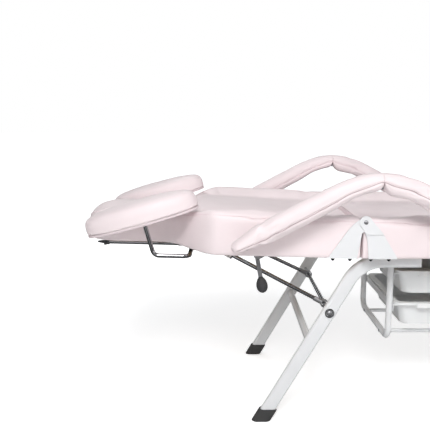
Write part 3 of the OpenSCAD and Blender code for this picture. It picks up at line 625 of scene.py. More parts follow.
PINK = Leatherette("pink_leatherette", (0.91, 0.80, 0.812), 0.46)
WELT = Leatherette("pink_welt", (0.86, 0.73, 0.75), 0.5)
# Darker pink for the outer arm piping: painted shade that stands in for the shadow in the seam groove.
SEAM_SHADE = Leatherette("sewn_seam", (0.55, 0.44, 0.46), 0.6)
WHITE_COAT = PowderCoat("white_powder_coat", (0.8, 0.81, 0.82), 0.34)
CHROME = Chrome("chrome_plate", (0.38, 0.385, 0.4), 0.05)
ZINC = BareMetal("zinc_plate", (0.5, 0.5, 0.52), 0.4)
BLACK_PLASTIC = Moulded("black_plastic", (0.006, 0.006, 0.007), 0.5, Gloss.TEXTURED)
BLACK_STEEL = Moulded("black_paint", (0.015, 0.015, 0.017), 0.3, Gloss.SATIN)
RUBBER = Moulded("black_rubber", (0.02, 0.02, 0.021), 0.7, Gloss.TEXTURED)
WHITE_PLASTIC = Moulded("white_plastic", (0.8, 0.79, 0.78), 0.4, Gloss.SATIN)
PALE_PLASTIC = Moulded("pale_pink_plastic", (0.72, 0.62, 0.635), 0.5, Gloss.SATIN)
TRAY_PLASTIC = Moulded("tray_plastic", (0.79, 0.785, 0.75), 0.28, Gloss.SMOOTH, 0.6)
PLY = Plywood("birch_plywood", (0.5, 0.34, 0.19), 0.6)


# ---------------------------------------------------------------- upholstery


@dataclass
class Cushion(ABC):
    """A boxed cushion with bolsters along both sides, built across the chair's width.

    Attributes:
        label: The body that it rides on, and the start of its names.
        away: Direction in which it runs from the hinge, -1 towards the foot end.
        length: Distance from the hinge to its far end.
        gap: Distance from the hinge to its near end.
        far_r: Rounding of the top of its far end.
        tip_r: Rounding of its far end in plan.
        fixed: Distance from the hinge to which its cover is held all round.
        seed: Which unevenness its cover has.
        half_w: Half-width of the wide part.
        crest: Height of the bolster above the side seam.
        valley: Level of the flat panel against the side seam.
        boxing: Depth of the sewn line below the top of the side.
        underside: Level of the underside, inside the board.
        end_r: Rounding of the top of the end at the hinge.
        corner_r: Rounding of its upright corners.
        padding: How the cover is filled.
    """

    label: str
    away: int
    length: float
    gap: float
    far_r: float
    tip_r: float
    fixed: float
    seed: float
    half_w: float = 299.7
    crest: float = 7.0
    valley: float = -19.0
    boxing: float = 2.0
    underside: float = 6.5
    end_r: float = 12.0
    corner_r: float = 5.0
    padding: Padding = Padding()

    @abstractmethod
    def half(self, x: float) -> float:
        """Plan half-width at distance x from the hinge."""

    @abstractmethod
    def side(self, x: float) -> float:
        """Height of the side at distance x from the hinge."""

    @abstractmethod
    def bolster(self, x: float) -> float:
        """Share of the bolsters' full height at distance x from the hinge."""

    @abstractmethod
    def body(self) -> list[float]:
        """Distances from the hinge at which the long middle is cut."""

    @abstractmethod
    def to(self, x: float, y: float, z: float) -> Vector:
        """A point x from the hinge and z above the underside, in the model's metres."""

    @abstractmethod
    def measure(self, co: Vector) -> tuple[float, float]:
        """Distance from the hinge and height of a place in the model."""

    def half_profile(self, w: float, h: float, c: float, v: float) -> list[tuple[float, float]]:
        """Half cross-section from the bottom edge over the bolster to the middle.

        Args:
            w: Half-width here.
            h: Height of the side here.
            c: Bolster crest above the side.
            v: Panel level against the side.

        Returns:
            Points (y, z) in millimetres.
        """
        s = w / 300
        return [
            (w - 60 * s, self.underside), (w - 36 * s, self.underside), (w - 33 * s, 3), (w - 32 * s, -2.5),
            (w - 26 * s, -4), (w - 11 * s, -6), (w - 4 * s, -3.5), (w - 1.6 * s, 5),
            (w - 2.2 * s, h * 0.3), (w - 2.5 * s, h * 0.62), (w - 1.2 * s, h - 16), (w - 1.5 * s, h - 8),
            (w - 4.5 * s, h - 2.5), (w - 12 * s, h + c * 0.62), (w - 21 * s, h + c * 0.88), (w - 32 * s, h + c),
            (w - 45 * s, h + c * 0.96), (w - 58 * s, h + mix(v, c, 0.82)), (w - 72 * s, h + mix(v, c, 0.55)),
            (w - 85 * s, h + mix(v, c, 0.24)), (w - 96 * s, h + mix(v, c, 0.05)), (w - 110 * s, h + v),
            (w * 0.5, h + v + 3.5), (w * 0.34, h + v + 5.5), (w * 0.17, h + v + 6.6),
        ]

    def section(self, x: float) -> Ring:
        """Closed ring at distance x from the hinge, starting at the middle of the underside."""
        w = self.half(x) - round_in(x - self.gap, self.corner_r)
        h = self.side(x) - round_in(x - self.gap, self.end_r) - round_in(self.length - x, self.far_r)
        b = self.bolster(x)
        c, v = self.crest * b, mix(1, self.valley, b)
        side = self.half_profile(w, h, c, v)
        right = [self.to(x, y, z) for y, z in side]
        left = [self.to(x, -y, z) for y, z in reversed(side)]
        return [self.to(x, 0, self.underside), *right, self.to(x, 0, h + v + 7), *left]

    def held(self, co: Vector) -> float:
        """How firmly the cover is held: its underside, its sides and its end at the hinge."""
        x, z = self.measure(co)
        low = 1 - ease((z - self.side(x) + 24) / 16)
        return max(low, 1 - ease((x - self.fixed) / 50))

    def stations(self) -> list[float]:
        """Distances from the hinge at which sections are cut."""
        start = [self.gap + d for d in (0, 0.4, 1.2, 2.5, 4.5, 7.5, 12)]
        end = [self.length - self.tip_r * (1 - math.sin(math.radians(a))) for a in range(8, 90, 8)]
        return start + self.body() + end + [self.length - 1.5]

    def seam_point(self, x: float, way: int) -> Vector:
        """A point of the boxing seam at x; way is -1 on the left side and 1 on the right."""
        z = self.side(x) - round_in(self.length - x, self.far_r) - self.boxing
        return self.to(x, way * self.half(x), z)

    def seam(self, step: float = 6.0, fine_step: float = 1.5, fine: float = 40.0) -> list[Vector]:
        """The boxing seam round the top of the side, from hinge to hinge.

        Args:
            step: Distance between its points.
            fine_step: Distance between them near the far end.
            fine: Length of that end.

        Returns:
            Points along the seam.
        """
        xs = []
        x = self.gap + 12.0
        while x < self.length - 2:
            xs.append(x)
            x += step if self.length - x > fine else fine_step
        return [self.seam_point(x, -1) for x in xs] + [self.seam_point(x, 1) for x in reversed(xs)]

    def build(self) -> list[bpy.types.Object]:
        """Model the cushion and its welt.

        Returns:
            The cushion and its welt.
        """
        obj = loft(f"{self.label}_upholstery", [self.section(x) for x in self.stations()])
        subdivide(obj, 1)
        self.padding.fill(obj, self.held)
        press_line(obj, snap(self.seam(), obj), 0.007, 0.0016)
        ruffle(obj, 0.0006, self.seed)
        smooth(obj, 80)
        welt = tube(f"{self.label}_welt", snap(self.seam(), obj, 0.0002), 0.0013)
        PINK.dress(obj)
        WELT.dress(welt)
        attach(obj, self.label)
        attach(welt, self.label)
        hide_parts(f"{self.label}_cushion")
        return [obj, welt]


@dataclass
class SeatCushion(Cushion):
    """Seat with the narrow leg rest at its foot end.

    Attributes:
        tongue: Half-width of the leg rest.
        shoulder: Where the seat starts and ends narrowing.
        rise: Height that the side gains up to the shoulder.
    """

    label: str = "seat"
    away: int = -1
    length: float = 798.0
    gap: float = 10.5
    far_r: float = 46.0
    tip_r: float = 105.0
    fixed: float = 34.0
    seed: float = 1.0
    tongue: float = 138.0
    shoulder: tuple[float, float] = (395.0, 560.0)
    rise: float = 12.0

    def half(self, x: float) -> float:
        """Plan half-width at distance x from the hinge."""
        t = (x - self.shoulder[0]) / (self.shoulder[1] - self.shoulder[0])
        return mix(self.half_w, self.tongue, ease(t)) * tip(self.length - x, self.tip_r, 2.4)

    def side(self, x: float) -> float:
        """Height of the side at distance x from the hinge."""
        if x < 402:
            return CUSHION_T + self.rise * x / 402
        return mix(CUSHION_T + self.rise, 84, ease((x - 402) / 130))

    def bolster(self, x: float) -> float:
        """Share of the bolsters' full height; they die out at the shoulder."""
        return 1 - ease((x - 385) / 110)

    def body(self) -> list[float]:
        """Distances from the hinge at which the long middle is cut."""
        return [*range(50, 380, 30), *range(385, 570, 13), 590, 620, 650, 680]

    def to(self, x: float, y: float, z: float) -> Vector:
        """A point x from the hinge and z above the underside, in the model's metres."""
        return seat_place(self.away * x, y, z)

    def measure(self, co: Vector) -> tuple[float, float]:
        """Distance from the hinge and height of a place in the model."""
        x = self.away * (co.x * 1000 - HINGE_X)
        return x, co.z * 1000 - UNDER_Z + x * math.sin(-SEAT_RISE)


@dataclass
class BackCushion(Cushion):
    """Long back section with a rounded head end."""

    label: str = "back"
    away: int = 1
    length: float = 1000.0
    gap: float = -4.5
    far_r: float = 34.0
    tip_r: float = 90.0
    fixed: float = 20.0
    seed: float = 2.0

    def half(self, x: float) -> float:
        """Plan half-width at distance x from the hinge."""
        return mix(self.half_w, 240, ease((x - 690) / 260)) * tip(self.length - x, self.tip_r, 2.2)

    def side(self, x: float) -> float:
        """Height of the side at distance x from the hinge."""
        return mix(CUSHION_T, 84, ease((x - 760) / 240))

    def bolster(self, x: float) -> float:
        """Share of the bolsters' full height; they die out towards the head end."""
        return 1 - ease((x - 760) / 150)

    def body(self) -> list[float]:
        """Distances from the hinge at which the long middle is cut."""
        return [*range(35, 680, 35), *range(690, 905, 18)]

    def to(self, x: float, y: float, z: float) -> Vector:
        """A point x from the hinge and z above the underside, in the model's metres."""
        return place(self.away * x, y, UNDER_Z + z)

    def measure(self, co: Vector) -> tuple[float, float]:
        """Distance from the hinge and height of a place in the model."""
        return self.away * (co.x * 1000 - HINGE_X), co.z * 1000 - UNDER_Z


@dataclass
class ArmCover:
    """One padded cover over both halves of an armrest.

    Attributes:
        side: Which armrest.
        y: Distance of its centre plane from the middle.
        width: Width across the chair.
        thick: Thickness of the padding.
        arc_r: Bend of the padding over the apex.
        slope: Slope of its straight parts in degrees.
        peak: Height of its centre line at the apex.
        front: Place of the front pivot along the chair.
        apex: Place of the apex along the chair.
        overhang: Length of the padding past a pivot.
        bridge: Height of the closed top of the cover above the centre line at the apex.
        roll: Length over which the lower half is rolled in beside the slit.
        padding: How the cover is filled.
    """

    side: Side
    y: float = 355.0
    width: float = 54.0
    thick: float = 60.0
    arc_r: float = 230.0
    slope: float = 27.6
    peak: float = 704.5
    front: float = -322.0
    apex: float = 24.0
    overhang: float = 42.0
    bridge: float = 5.0
    roll: float = 13.0
    padding: Padding = Padding(pressure=3.0, slack=0.006, inset=0.0015, cap=0.004)

    def held(self, co: Vector) -> float:
        """How firmly the cover is held: at its free ends and round the slit at the apex."""
        d = abs(co.x * 1000 - HINGE_X - self.apex)
        return max(1 - ease((d - 35) / 45), 1 - ease((350 - d) / 50))

    def centre(self, s: float) -> tuple[float, float, float]:
        """Centre line of the front half.

        Args:
            s: Distance along it from the front pivot.

        Returns:
            Place along the chair, height, and slope in radians.
        """
        a = math.radians(self.slope)
        foot_x = self.apex - self.arc_r * math.sin(a)
        foot_z = self.peak - self.arc_r * (1 - math.cos(a))
        straight = (foot_x - self.front) / math.cos(a)
        if s < straight:
            return foot_x - (straight - s) * math.cos(a), foot_z - (straight - s) * math.sin(a), a
        b = a - (s - straight) / self.arc_r
        return self.apex - self.arc_r * math.sin(b), self.peak - self.arc_r * (1 - math.cos(b)), b

    @property
    def reach(self) -> float:
        """Length of the front half along its centre line."""
        a = math.radians(self.slope)
        return (self.apex - self.arc_r * math.sin(a) - self.front) / math.cos(a) + self.arc_r * a

    def point(self, s: float, y: float, v: float, rear: bool) -> Vector:
        """A point beside the centre line, v above it and y outside the centre plane."""
        x, z, a = self.centre(s)
        px = x - v * math.sin(a)
        return place(2 * self.apex - px if rear else px, self.side.value * (self.y + y), z + v * math.cos(a))

    def top(self, s: float) -> float:
        """Height of the cover above the centre line."""
        return self.thick / 2 * (1 - 0.48 * (1 - ease((s + 26) / 88)))

    def bottom(self, s: float, rear: bool) -> float:
        """Depth of the cover below the centre line, drawn up into the slit at the apex."""
        away = self.reach - s
        low = 1 - 0.5 * (1 - ease(away / 30)) if rear else 1 - 0.5 * max(0.0, 1 - away / 135)
        roll = math.sqrt(max(0.0, 1 - max(0.0, 1 - away / self.roll) ** 2))
        return mix(-self.bridge, self.top(s) * low, roll)

    def seam_height(self, s: float, rear: bool) -> float:
        """Height of the side seam above the centre line; it climbs to the top of the slit."""
        away = self.reach - s
        if rear:
            return mix(-9, -3, s / self.reach) + 16 * math.exp(-away / 14)
        return mix(-15, -6, s / self.reach) * self.top(s) / self.top(200) + 18 * math.exp(-away / 34)

    def ring(self, s: float, k: float, rear: bool) -> Ring:
        """Section at s along a half, scaled by k."""
        top, low = self.top(s) * k, self.bottom(s, rear) * k
        away = self.reach - s
        pinch = 1 - 0.12 * (1 - ease(away / 22))
        out = []
        for i in range(32):
            t = 2 * math.pi * i / 32
            cy, sz = math.cos(t), math.sin(t)
            py = self.width / 2 * k * math.copysign(abs(cy) ** 0.8, cy) * (pinch if sz < 0 else 1)
            v = math.copysign(abs(sz) ** 0.85, sz)
            out.append(self.point(s, py, mix(-low, top, (v + 1) / 2) if low < 0 else v * (top if v > 0 else low), rear))
        return out

    def seam(self, outside: bool, obj: bpy.types.Object, lift: float) -> list[Vector]:
        """The side seam from end to end, laid on the cover."""
        steps = range(int(-self.overhang) + 12, int(self.reach), 4)
        path = []
        for rear, order in ((False, steps), (True, reversed(steps))):
            for s in order:
                v = self.seam_height(s, rear)
                sine = min(0.98, abs(v) / (self.top(s) if v > 0 else max(self.bottom(s, rear), 1))) ** (1 / 0.85)
                y = self.width / 2 * (1 - sine * sine) ** 0.4
                path.append(self.point(s, y if outside else -y, v, rear))
        return snap(path, obj, lift)

    def build(self) -> list[bpy.types.Object]:
        """Model the cover and its seams.

        Returns:
            The cover and its seams.
        """
        start = -self.overhang
        ends = [(start + 22 * (1 - math.cos(math.radians(a))), math.sin(math.radians(a))) for a in range(10, 90, 13)]
        body = [(s, 1.0) for s in (-14, -4, 8, 20, 34, 48, 62, 85, 115, 150, 185, 220)]
        near = [(self.reach - d, 1.0) for d in (135, 105, 78, 54, 38, 28, 20, 14, 10, 7, 5, 3.2, 1.6, 0)]
        half = ends + body + [n for n in near if n[0] > 230]
        front = [self.ring(s, k, False) for s, k in half]
        rear = [self.ring(s, k, True) for s, k in reversed(half[:-1])]
        tag = self.side.tag
        obj = loft(f"arm_cover_{tag}", front + rear)
        subdivide(obj, 1)
        self.padding.fill(obj, self.held)
        seams = [self.seam(outside, obj, 0) for outside in (True, False)]
        for path in seams:
            press_line(obj, path, 0.006, 0.0026)
        ruffle(obj, 0.0005, 3.0 + self.side.value)
        smooth(obj, 80)
        pipes = [tube(f"arm_piping_{name}_{tag}", self.seam(outside, obj, 0.0002), 0.0011)
                 for outside, name in ((True, "outer"), (False, "inner"))]
        PINK.dress(obj)
        # Painted shade: the outer piping takes the dark seam colour for the shadow in its groove, while the inner
        # piping keeps the welt colour.
        SEAM_SHADE.dress(pipes[0])
        WELT.dress(pipes[1])
        x, y = self.apex, self.side.value * self.y
        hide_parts(f"arm_front_pad_{tag}", f"arm_rear_pad_{tag}")
        for piece in (obj, *pipes):
            tuple(place(x - 30, y, self.peak))
            tuple(place(x + 30, y, self.peak))
            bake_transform(piece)
        return [obj, *pipes]


@dataclass
class FootPad:
    """Oval foot rest pad on its base.

    Attributes:
        side: Which foot rest.
        centre: Its place along the chair and the height of its base.
        y: Distance of its centre from the middle.
        length: Length of the pad.
        width: Width of the pad.
        tilt: Tilt in degrees, toe end down.
        padding: How the cover is filled.
    """

    side: Side
    centre: tuple[float, float] = (-603.0, 584.0)
    y: float = 226.0
    length: float = 326.0
    width: float = 158.0
    tilt: float = 15.5
    padding: Padding = Padding(stiff=6.0, slack=0.0, inset=0.0015, cap=0.003)

    def to_chair(self, x: float, y: float, z: float) -> Vector:
        """A point of the pad's own frame in the model's metres."""
        c, s = math.cos(math.radians(self.tilt)), math.sin(math.radians(self.tilt))
        return place(self.centre[0] + x * c - z * s, self.side.value * self.y + y, self.centre[1] + x * s + z * c)

    def held(self, co: Vector) -> float:
        """How firmly the cover is held: glued and stapled round the base, free above it."""
        c, s = math.cos(math.radians(self.tilt)), math.sin(math.radians(self.tilt))
        dx, dz = co.x * 1000 - HINGE_X - self.centre[0], co.z * 1000 - self.centre[1]
        return 1 - ease((dz * c - dx * s - 9) / 14)

    def outline(self, k: float, n: int = 40) -> list[tuple[float, float]]:
        """Oval outline scaled by k."""
        out = []
        for i in range(n):
            t = 2 * math.pi * i / n
            c, s = math.cos(t), math.sin(t)
            x = self.length / 2 * k * math.copysign(abs(c) ** 0.86, c)
            out.append((x, self.width / 2 * k * math.copysign(abs(s) ** 0.92, s)))
        return out

    def build(self) -> list[bpy.types.Object]:
        """Model the pad.

        Returns:
            The pad.
        """
        levels = [(6.3, 0.5), (6.3, 0.9), (6.4, 0.955), (7, 0.972), (9.5, 0.986), (14, 0.996), (22, 1.002), (31, 1.0),
                  (39, 0.988), (46, 0.966), (52, 0.925), (57, 0.85), (60.5, 0.735), (63, 0.56), (64.3, 0.36),
                  (64.8, 0.18)]
        rings = [[self.to_chair(x, y, z) for x, y in self.outline(k)] for z, k in levels]
        obj = loft(f"foot_pad_cover_{self.side.tag}", rings)
        subdivide(obj, 1)
        self.padding.fill(obj, self.held)
        ruffle(obj, 0.0005, 7.0 + self.side.value)
        smooth(obj, 80)
        PINK.dress(obj)
        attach(obj, f"foot_rest_{self.side.tag}")
        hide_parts(f"foot_pad_{self.side.tag}")
        return [obj]


# ---------------------------------------------------------------- small hardware


def faces_where(obj: bpy.types.Object, test: Callable[[Vector], bool]) -> None:
    """Enter edit mode with only the faces whose normal passes the test selected."""
    pick(obj)
    bpy.ops.object.mode_set(mode="EDIT")
    bpy.ops.mesh.select_mode(type="FACE")
    bpy.ops.mesh.select_all(action="DESELECT")
    bm = bmesh.from_edit_mesh(obj.data)
    for face in bm.faces:
        face.select = test(face.normal)
    bm.select_flush_mode()
    bmesh.update_edit_mesh(obj.data)


def settle(obj: bpy.types.Object) -> None:
    """Leave edit mode with normals outwards and the place in the mesh."""
    bpy.ops.mesh.select_all(action="SELECT")
    bpy.ops.mesh.remove_doubles(threshold=0.00001)
    bpy.ops.mesh.normals_make_consistent(inside=False)
    bpy.ops.object.mode_set(mode="OBJECT")
    pick(obj)
    bpy.ops.object.transform_apply(location=True, rotation=True, scale=True)


def turned(name: str, at: Vector, radius: float, length: float, edge: float, sides: int = 32) -> bpy.types.Object:
    """A round bar lying across the chair with rounded rims.

    Args:
        name: Name of the new object.
        at: Its centre in metres.
        radius: Its radius in metres.
        length: Its length in metres.
        edge: Width of the rounded rims in metres.
        sides: Number of sides; 6 gives a nut.

    Returns:
        The new object.
    """
    clear_selection()
    across = (math.pi / 2, 0, 0)
    bpy.ops.mesh.primitive_cylinder_add(vertices=sides, radius=radius, depth=length, location=at, rotation=across)
    obj = bpy.context.active_object
    obj.name = name
    faces_where(obj, lambda n: abs(n.z) > 0.9)
    bpy.ops.mesh.region_to_loop()
    bpy.ops.mesh.bevel(offset=edge, segments=3, affect="EDGES")
    settle(obj)
    smooth(obj, 35)
    return obj


def cap_screw(name: str, at: Vector, out: float, radius: float, height: float, hole: float) -> bpy.types.Object:
    """A round cup with a sunk middle that faces out across the chair.

    Args:
        name: Name of the new object.
        at: Centre of the face that it sits on, in metres.
        out: -1 when it faces the left side, 1 for the right.
        radius: Outer radius in metres.
        height: Height over the face in metres.
        hole: Radius of the sunk middle in metres.

    Returns:
        The new object.
    """
    obj = turned(name, at + Vector((0, out * height / 2, 0)), radius, height, height * 0.3, 40)
    faces_where(obj, lambda n: n.y * out > 0.98)
    bpy.ops.mesh.inset(thickness=radius - height * 0.3 - hole)
    bpy.ops.mesh.extrude_region_move(TRANSFORM_OT_translate={"value": (0, -out * height * 0.6, 0)})
    settle(obj)
    smooth(obj, 35)
    return obj


def block(name: str, low: Vector, high: Vector, edge: float, segments: int = 3) -> bpy.types.Object:
    """A block between two corners with rounded edges.

    Args:
        name: Name of the new object.
        low: Lowest corner in metres.
        high: Highest corner in metres.
        edge: Radius of its edges in metres.
        segments: Steps of the rounding.

    Returns:
        The new object.
    """
    clear_selection()
    bpy.ops.mesh.primitive_cube_add(size=1, location=(low + high) / 2)
    obj = bpy.context.active_object
    obj.name = name
    obj.scale = high - low
    bpy.ops.object.transform_apply(location=False, rotation=False, scale=True)
    bpy.ops.object.mode_set(mode="EDIT")
    bpy.ops.mesh.select_all(action="SELECT")
    bpy.ops.mesh.bevel(offset=edge, segments=segments, affect="EDGES")
    settle(obj)
    smooth(obj, 35)
    return obj


def joined(name: str, pieces: Sequence[bpy.types.Object]) -> bpy.types.Object:
    """Join pieces that are welded or screwed together into one object."""
    clear_selection()
    for obj in pieces:
        obj.select_set(True)
    bpy.context.view_layer.objects.active = pieces[0]
    bpy.ops.object.join()
    pieces[0].name = name
    return pieces[0]


@dataclass
class ArmBrackets:
    """Brackets on the cushion sides that carry the two ends of each armrest.

    Attributes:
        x: Places of the two pivots along the chair.
        z: Height of the pivots.
        half_w: Half-width of the cushion.
        flange: Radius and thickness of the flange against the cushion.
    """

    x: tuple[float, float] = (-322.0, 370.0)
    z: float = 545.0
    half_w: float = 300.0
    flange: tuple[float, float] = (9.5, 3.0)

    def bracket(self, name: str, x: float, side: Side, bar: tuple[float, float], nut: bool) -> bpy.types.Object:
        """Flange, pin and nut on one side; bar gives where the pin meets the steel bar."""
        radius, thick = self.flange
        o = side.value
        parts = [turned(name, place(x, o * (self.half_w + thick / 2), self.z), (radius if nut else radius + 4) / 1000,
                        thick / 1000, 0.0008)]
        shoulder = self.half_w + thick
        parts.append(turned("pin", place(x, o * (shoulder + bar[0]) / 2, self.z), 0.007 if nut else 0.01,
                            (bar[0] - shoulder) / 1000, 0.001))
        if nut:
            middle = place(x, o * (bar[0] + bar[1]) / 2, self.z)
            parts.append(turned("bolt", middle, 0.0048, (bar[1] - bar[0]) / 1000, 0.0008))
            parts.append(turned("nut", place(x, o * (bar[1] + 3), self.z), 0.0088, 0.005, 0.0008, 6))
        return joined(name, parts)

    def build(self) -> list[bpy.types.Object]:
        """Model the front and rear brackets of both sides.

        Returns:
            One object for the front pair and one for the rear pair.
        """
        front = joined("arm_brackets_front", [
            self.bracket(f"front_{side.tag}", self.x[0], side, (352.0, 358.5), True) for side in Side])
        rear = joined("arm_brackets_rear", [
            self.bracket(f"rear_{side.tag}", self.x[1], side, (327.0, 327.0), False) for side in Side])
        for obj, node, body in ((front, "arm_front_pivots", "seat"), (rear, "arm_rear_pivots", "back")):
            ZINC.dress(obj)
            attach(obj, body)
            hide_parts(node)
        return [front, rear]


@dataclass
class Slider:
    """Slider block of one foot rest with the ear that takes the bent rod.

    Attributes:
        side: Which foot rest.
        x: Front and rear end from the hinge.
        y: Inner and outer face from the middle.
        depth: Lower faces of the ear and the block, and the top, from the seat's underside.
        ear: Length of the ear.
    """

    side: Side
    x: tuple[float, float] = (-516.0, -466.0)
    y: tuple[float, float] = (92.0, 118.0)
    depth: tuple[float, float, float] = (-33.0, -19.5, -1.5)
    ear: float = 17.0

    def part(self, name: str, x: tuple[float, float], z: tuple[float, float]) -> bpy.types.Object:
        """A rounded block in the seat's own frame, set in the chair."""
        near, far = sorted(self.side.value * y for y in self.y)
        obj = block(name, Vector((x[0], near, z[0])) / 1000, Vector((x[1], far, z[1])) / 1000, 0.002)
        for v in obj.data.vertices:
            v.co = seat_place(*(c * 1000 for c in v.co))
        return obj

    def build(self) -> list[bpy.types.Object]:
        """Model the block.

        Returns:
            The block.
        """
        low, mid, top = self.depth
        body = self.part("body", self.x, (mid, top))
        ear = self.part("ear", (self.x[1] - self.ear, self.x[1]), (low, mid + 1))
        obj = joined(f"slider_block_{self.side.tag}", [body, ear])
        BLACK_PLASTIC.dress(obj)
        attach(obj, f"foot_rest_{self.side.tag}")
        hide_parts(f"foot_carriage_{self.side.tag}")
        return [obj]


@dataclass
class Staples:
    """Wire staples that hold the turned-under cover to the boards.

    Attributes:
        crown: Length of a staple.
        wire: Thickness of its wire.
        inset: Distance in from the side of a 300 mm half-width.
        first: Distance of the first staple from the hinge.
        pitch: Distance between staples.
        depth: Height of the hem's face against the underside.
    """

    crown: float = 11.0
    wire: float = 1.3
    inset: float = 19.0
    first: float = 45.0
    pitch: float = 38.0
    depth: float = -5.0

    def row(self, cushion: Cushion, reach: float) -> bpy.types.Object:
        """Staples along both long sides of a cushion.

        Args:
            cushion: The cushion that they hold.
            reach: How far from the hinge they go.

        Returns:
            All the staples as one object.
        """
        name = f"{cushion.label}_staples"
        half = Vector((self.crown, self.wire, self.wire)) / 2000
        pattern = block(name, -half, half, 0.0004, 2)
        copies = []
        x = self.first
        while x < reach:
            w = cushion.half(x)
            slope = math.atan2(cushion.half(x + 4) - cushion.half(x - 4), 8)
            for side in Side:
                at = cushion.to(x, side.value * (w - self.inset * w / 300), self.depth)
                copy = pattern.copy()
                copy.data = pattern.data.copy()
                bpy.context.collection.objects.link(copy)
                turn = side.value * cushion.away * slope
                copy.data.transform(Matrix.Translation(at) @ Matrix.Rotation(turn, 4, "Z"))
                copies.append(copy)
            x += self.pitch
        bpy.data.objects.remove(pattern)
        obj = joined(name, copies)
        ZINC.dress(obj)
        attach(obj, cushion.label)
        return obj

    def build(self, seat: Cushion, back: Cushion) -> list[bpy.types.Object]:
        """Model the staples of the seat and of the back.

        Returns:
            One object for each cushion.
        """
        return [self.row(seat, seat.length - 110), self.row(back, back.length - 100)]


@dataclass
class BoltCups:
    """Black plastic cups round the heads of the shaft bolts.

    Attributes:
        x: Place along the chair.
        y: Outer face of the leg.
        z: Height.
        radius: Outer radius of a cup.
    """

    x: float = -182.1
    y: float = 254.2
    z: float = 328.0
    radius: float = 13.2

    def build(self) -> list[bpy.types.Object]:
        """Model one cup on each leg.

        Returns:
            The two cups.
        """
        cups = []
        for side in Side:
            at = Vector((self.x / 1000, side.value * self.y / 1000, self.z / 1000))
            cup = cap_screw(f"bolt_cup_{side.tag}", at, side.value, self.radius / 1000, 0.0045, 0.0103)
            BLACK_PLASTIC.dress(cup)
            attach(cup, "base")
            cups.append(cup)
        return cups


# ---------------------------------------------------------------- carried-over nodes


@dataclass
class Metalwork:
    """Finishes of the pieces that keep their engineered shape.

    Attributes:
        nodes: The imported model's nodes by name.
        finishes: Node names, without their side, that take each finish.
    """

    nodes: dict[str, bpy.types.Object]
    finishes: dict[Finish, tuple[str, ...]] = field(default_factory=lambda: {
        WHITE_COAT: ("front_leg", "rear_leg", "front_crossmember", "frame_links", "cross_bars", "rear_floor_bar",
                     "rack_hoops", "rack_runners", "rack_base_rails", "seat_underframe", "back_underframe",
                     "seat_hinge_plates", "back_hinge_plates"),
        CHROME: ("strut_shaft", "strut_rod", "foot_rails", "foot_rod", "back_strut_rod"),
        ZINC: ("shaft_bolts", "tilt_pins", "rack_screws", "arm_front_pivots", "hinge_bolts", "arm_rear_pivots",
               "arm_front_bar", "arm_rear_bar", "strut_eye", "release_lever"),
        BLACK_STEEL: ("seat_plate_screws", "back_plate_screws", "back_strut_housing", "back_release_lever",
                      "strut_clamps"),
        BLACK_PLASTIC: ("lever_knob", "foot_rail_brackets"),
        RUBBER: ("rubber_feet",),
        WHITE_PLASTIC: ("leg_end_plugs",),
        PALE_PLASTIC: ("foot_pad_base",),
        TRAY_PLASTIC: ("upper_tray", "lower_tray"),
        PLY: ("seat_board", "back_board"),
    })

    def dress(self) -> None:
        """Give every carried-over node its finish."""
        for finish, names in self.finishes.items():
            chosen = [o for n, o in self.nodes.items() if n.removesuffix("_left").removesuffix("_right") in names]
            finish.dress(*chosen)
            log.info("%s: %d nodes", finish.name, len(chosen))


# ---------------------------------------------------------------- studio


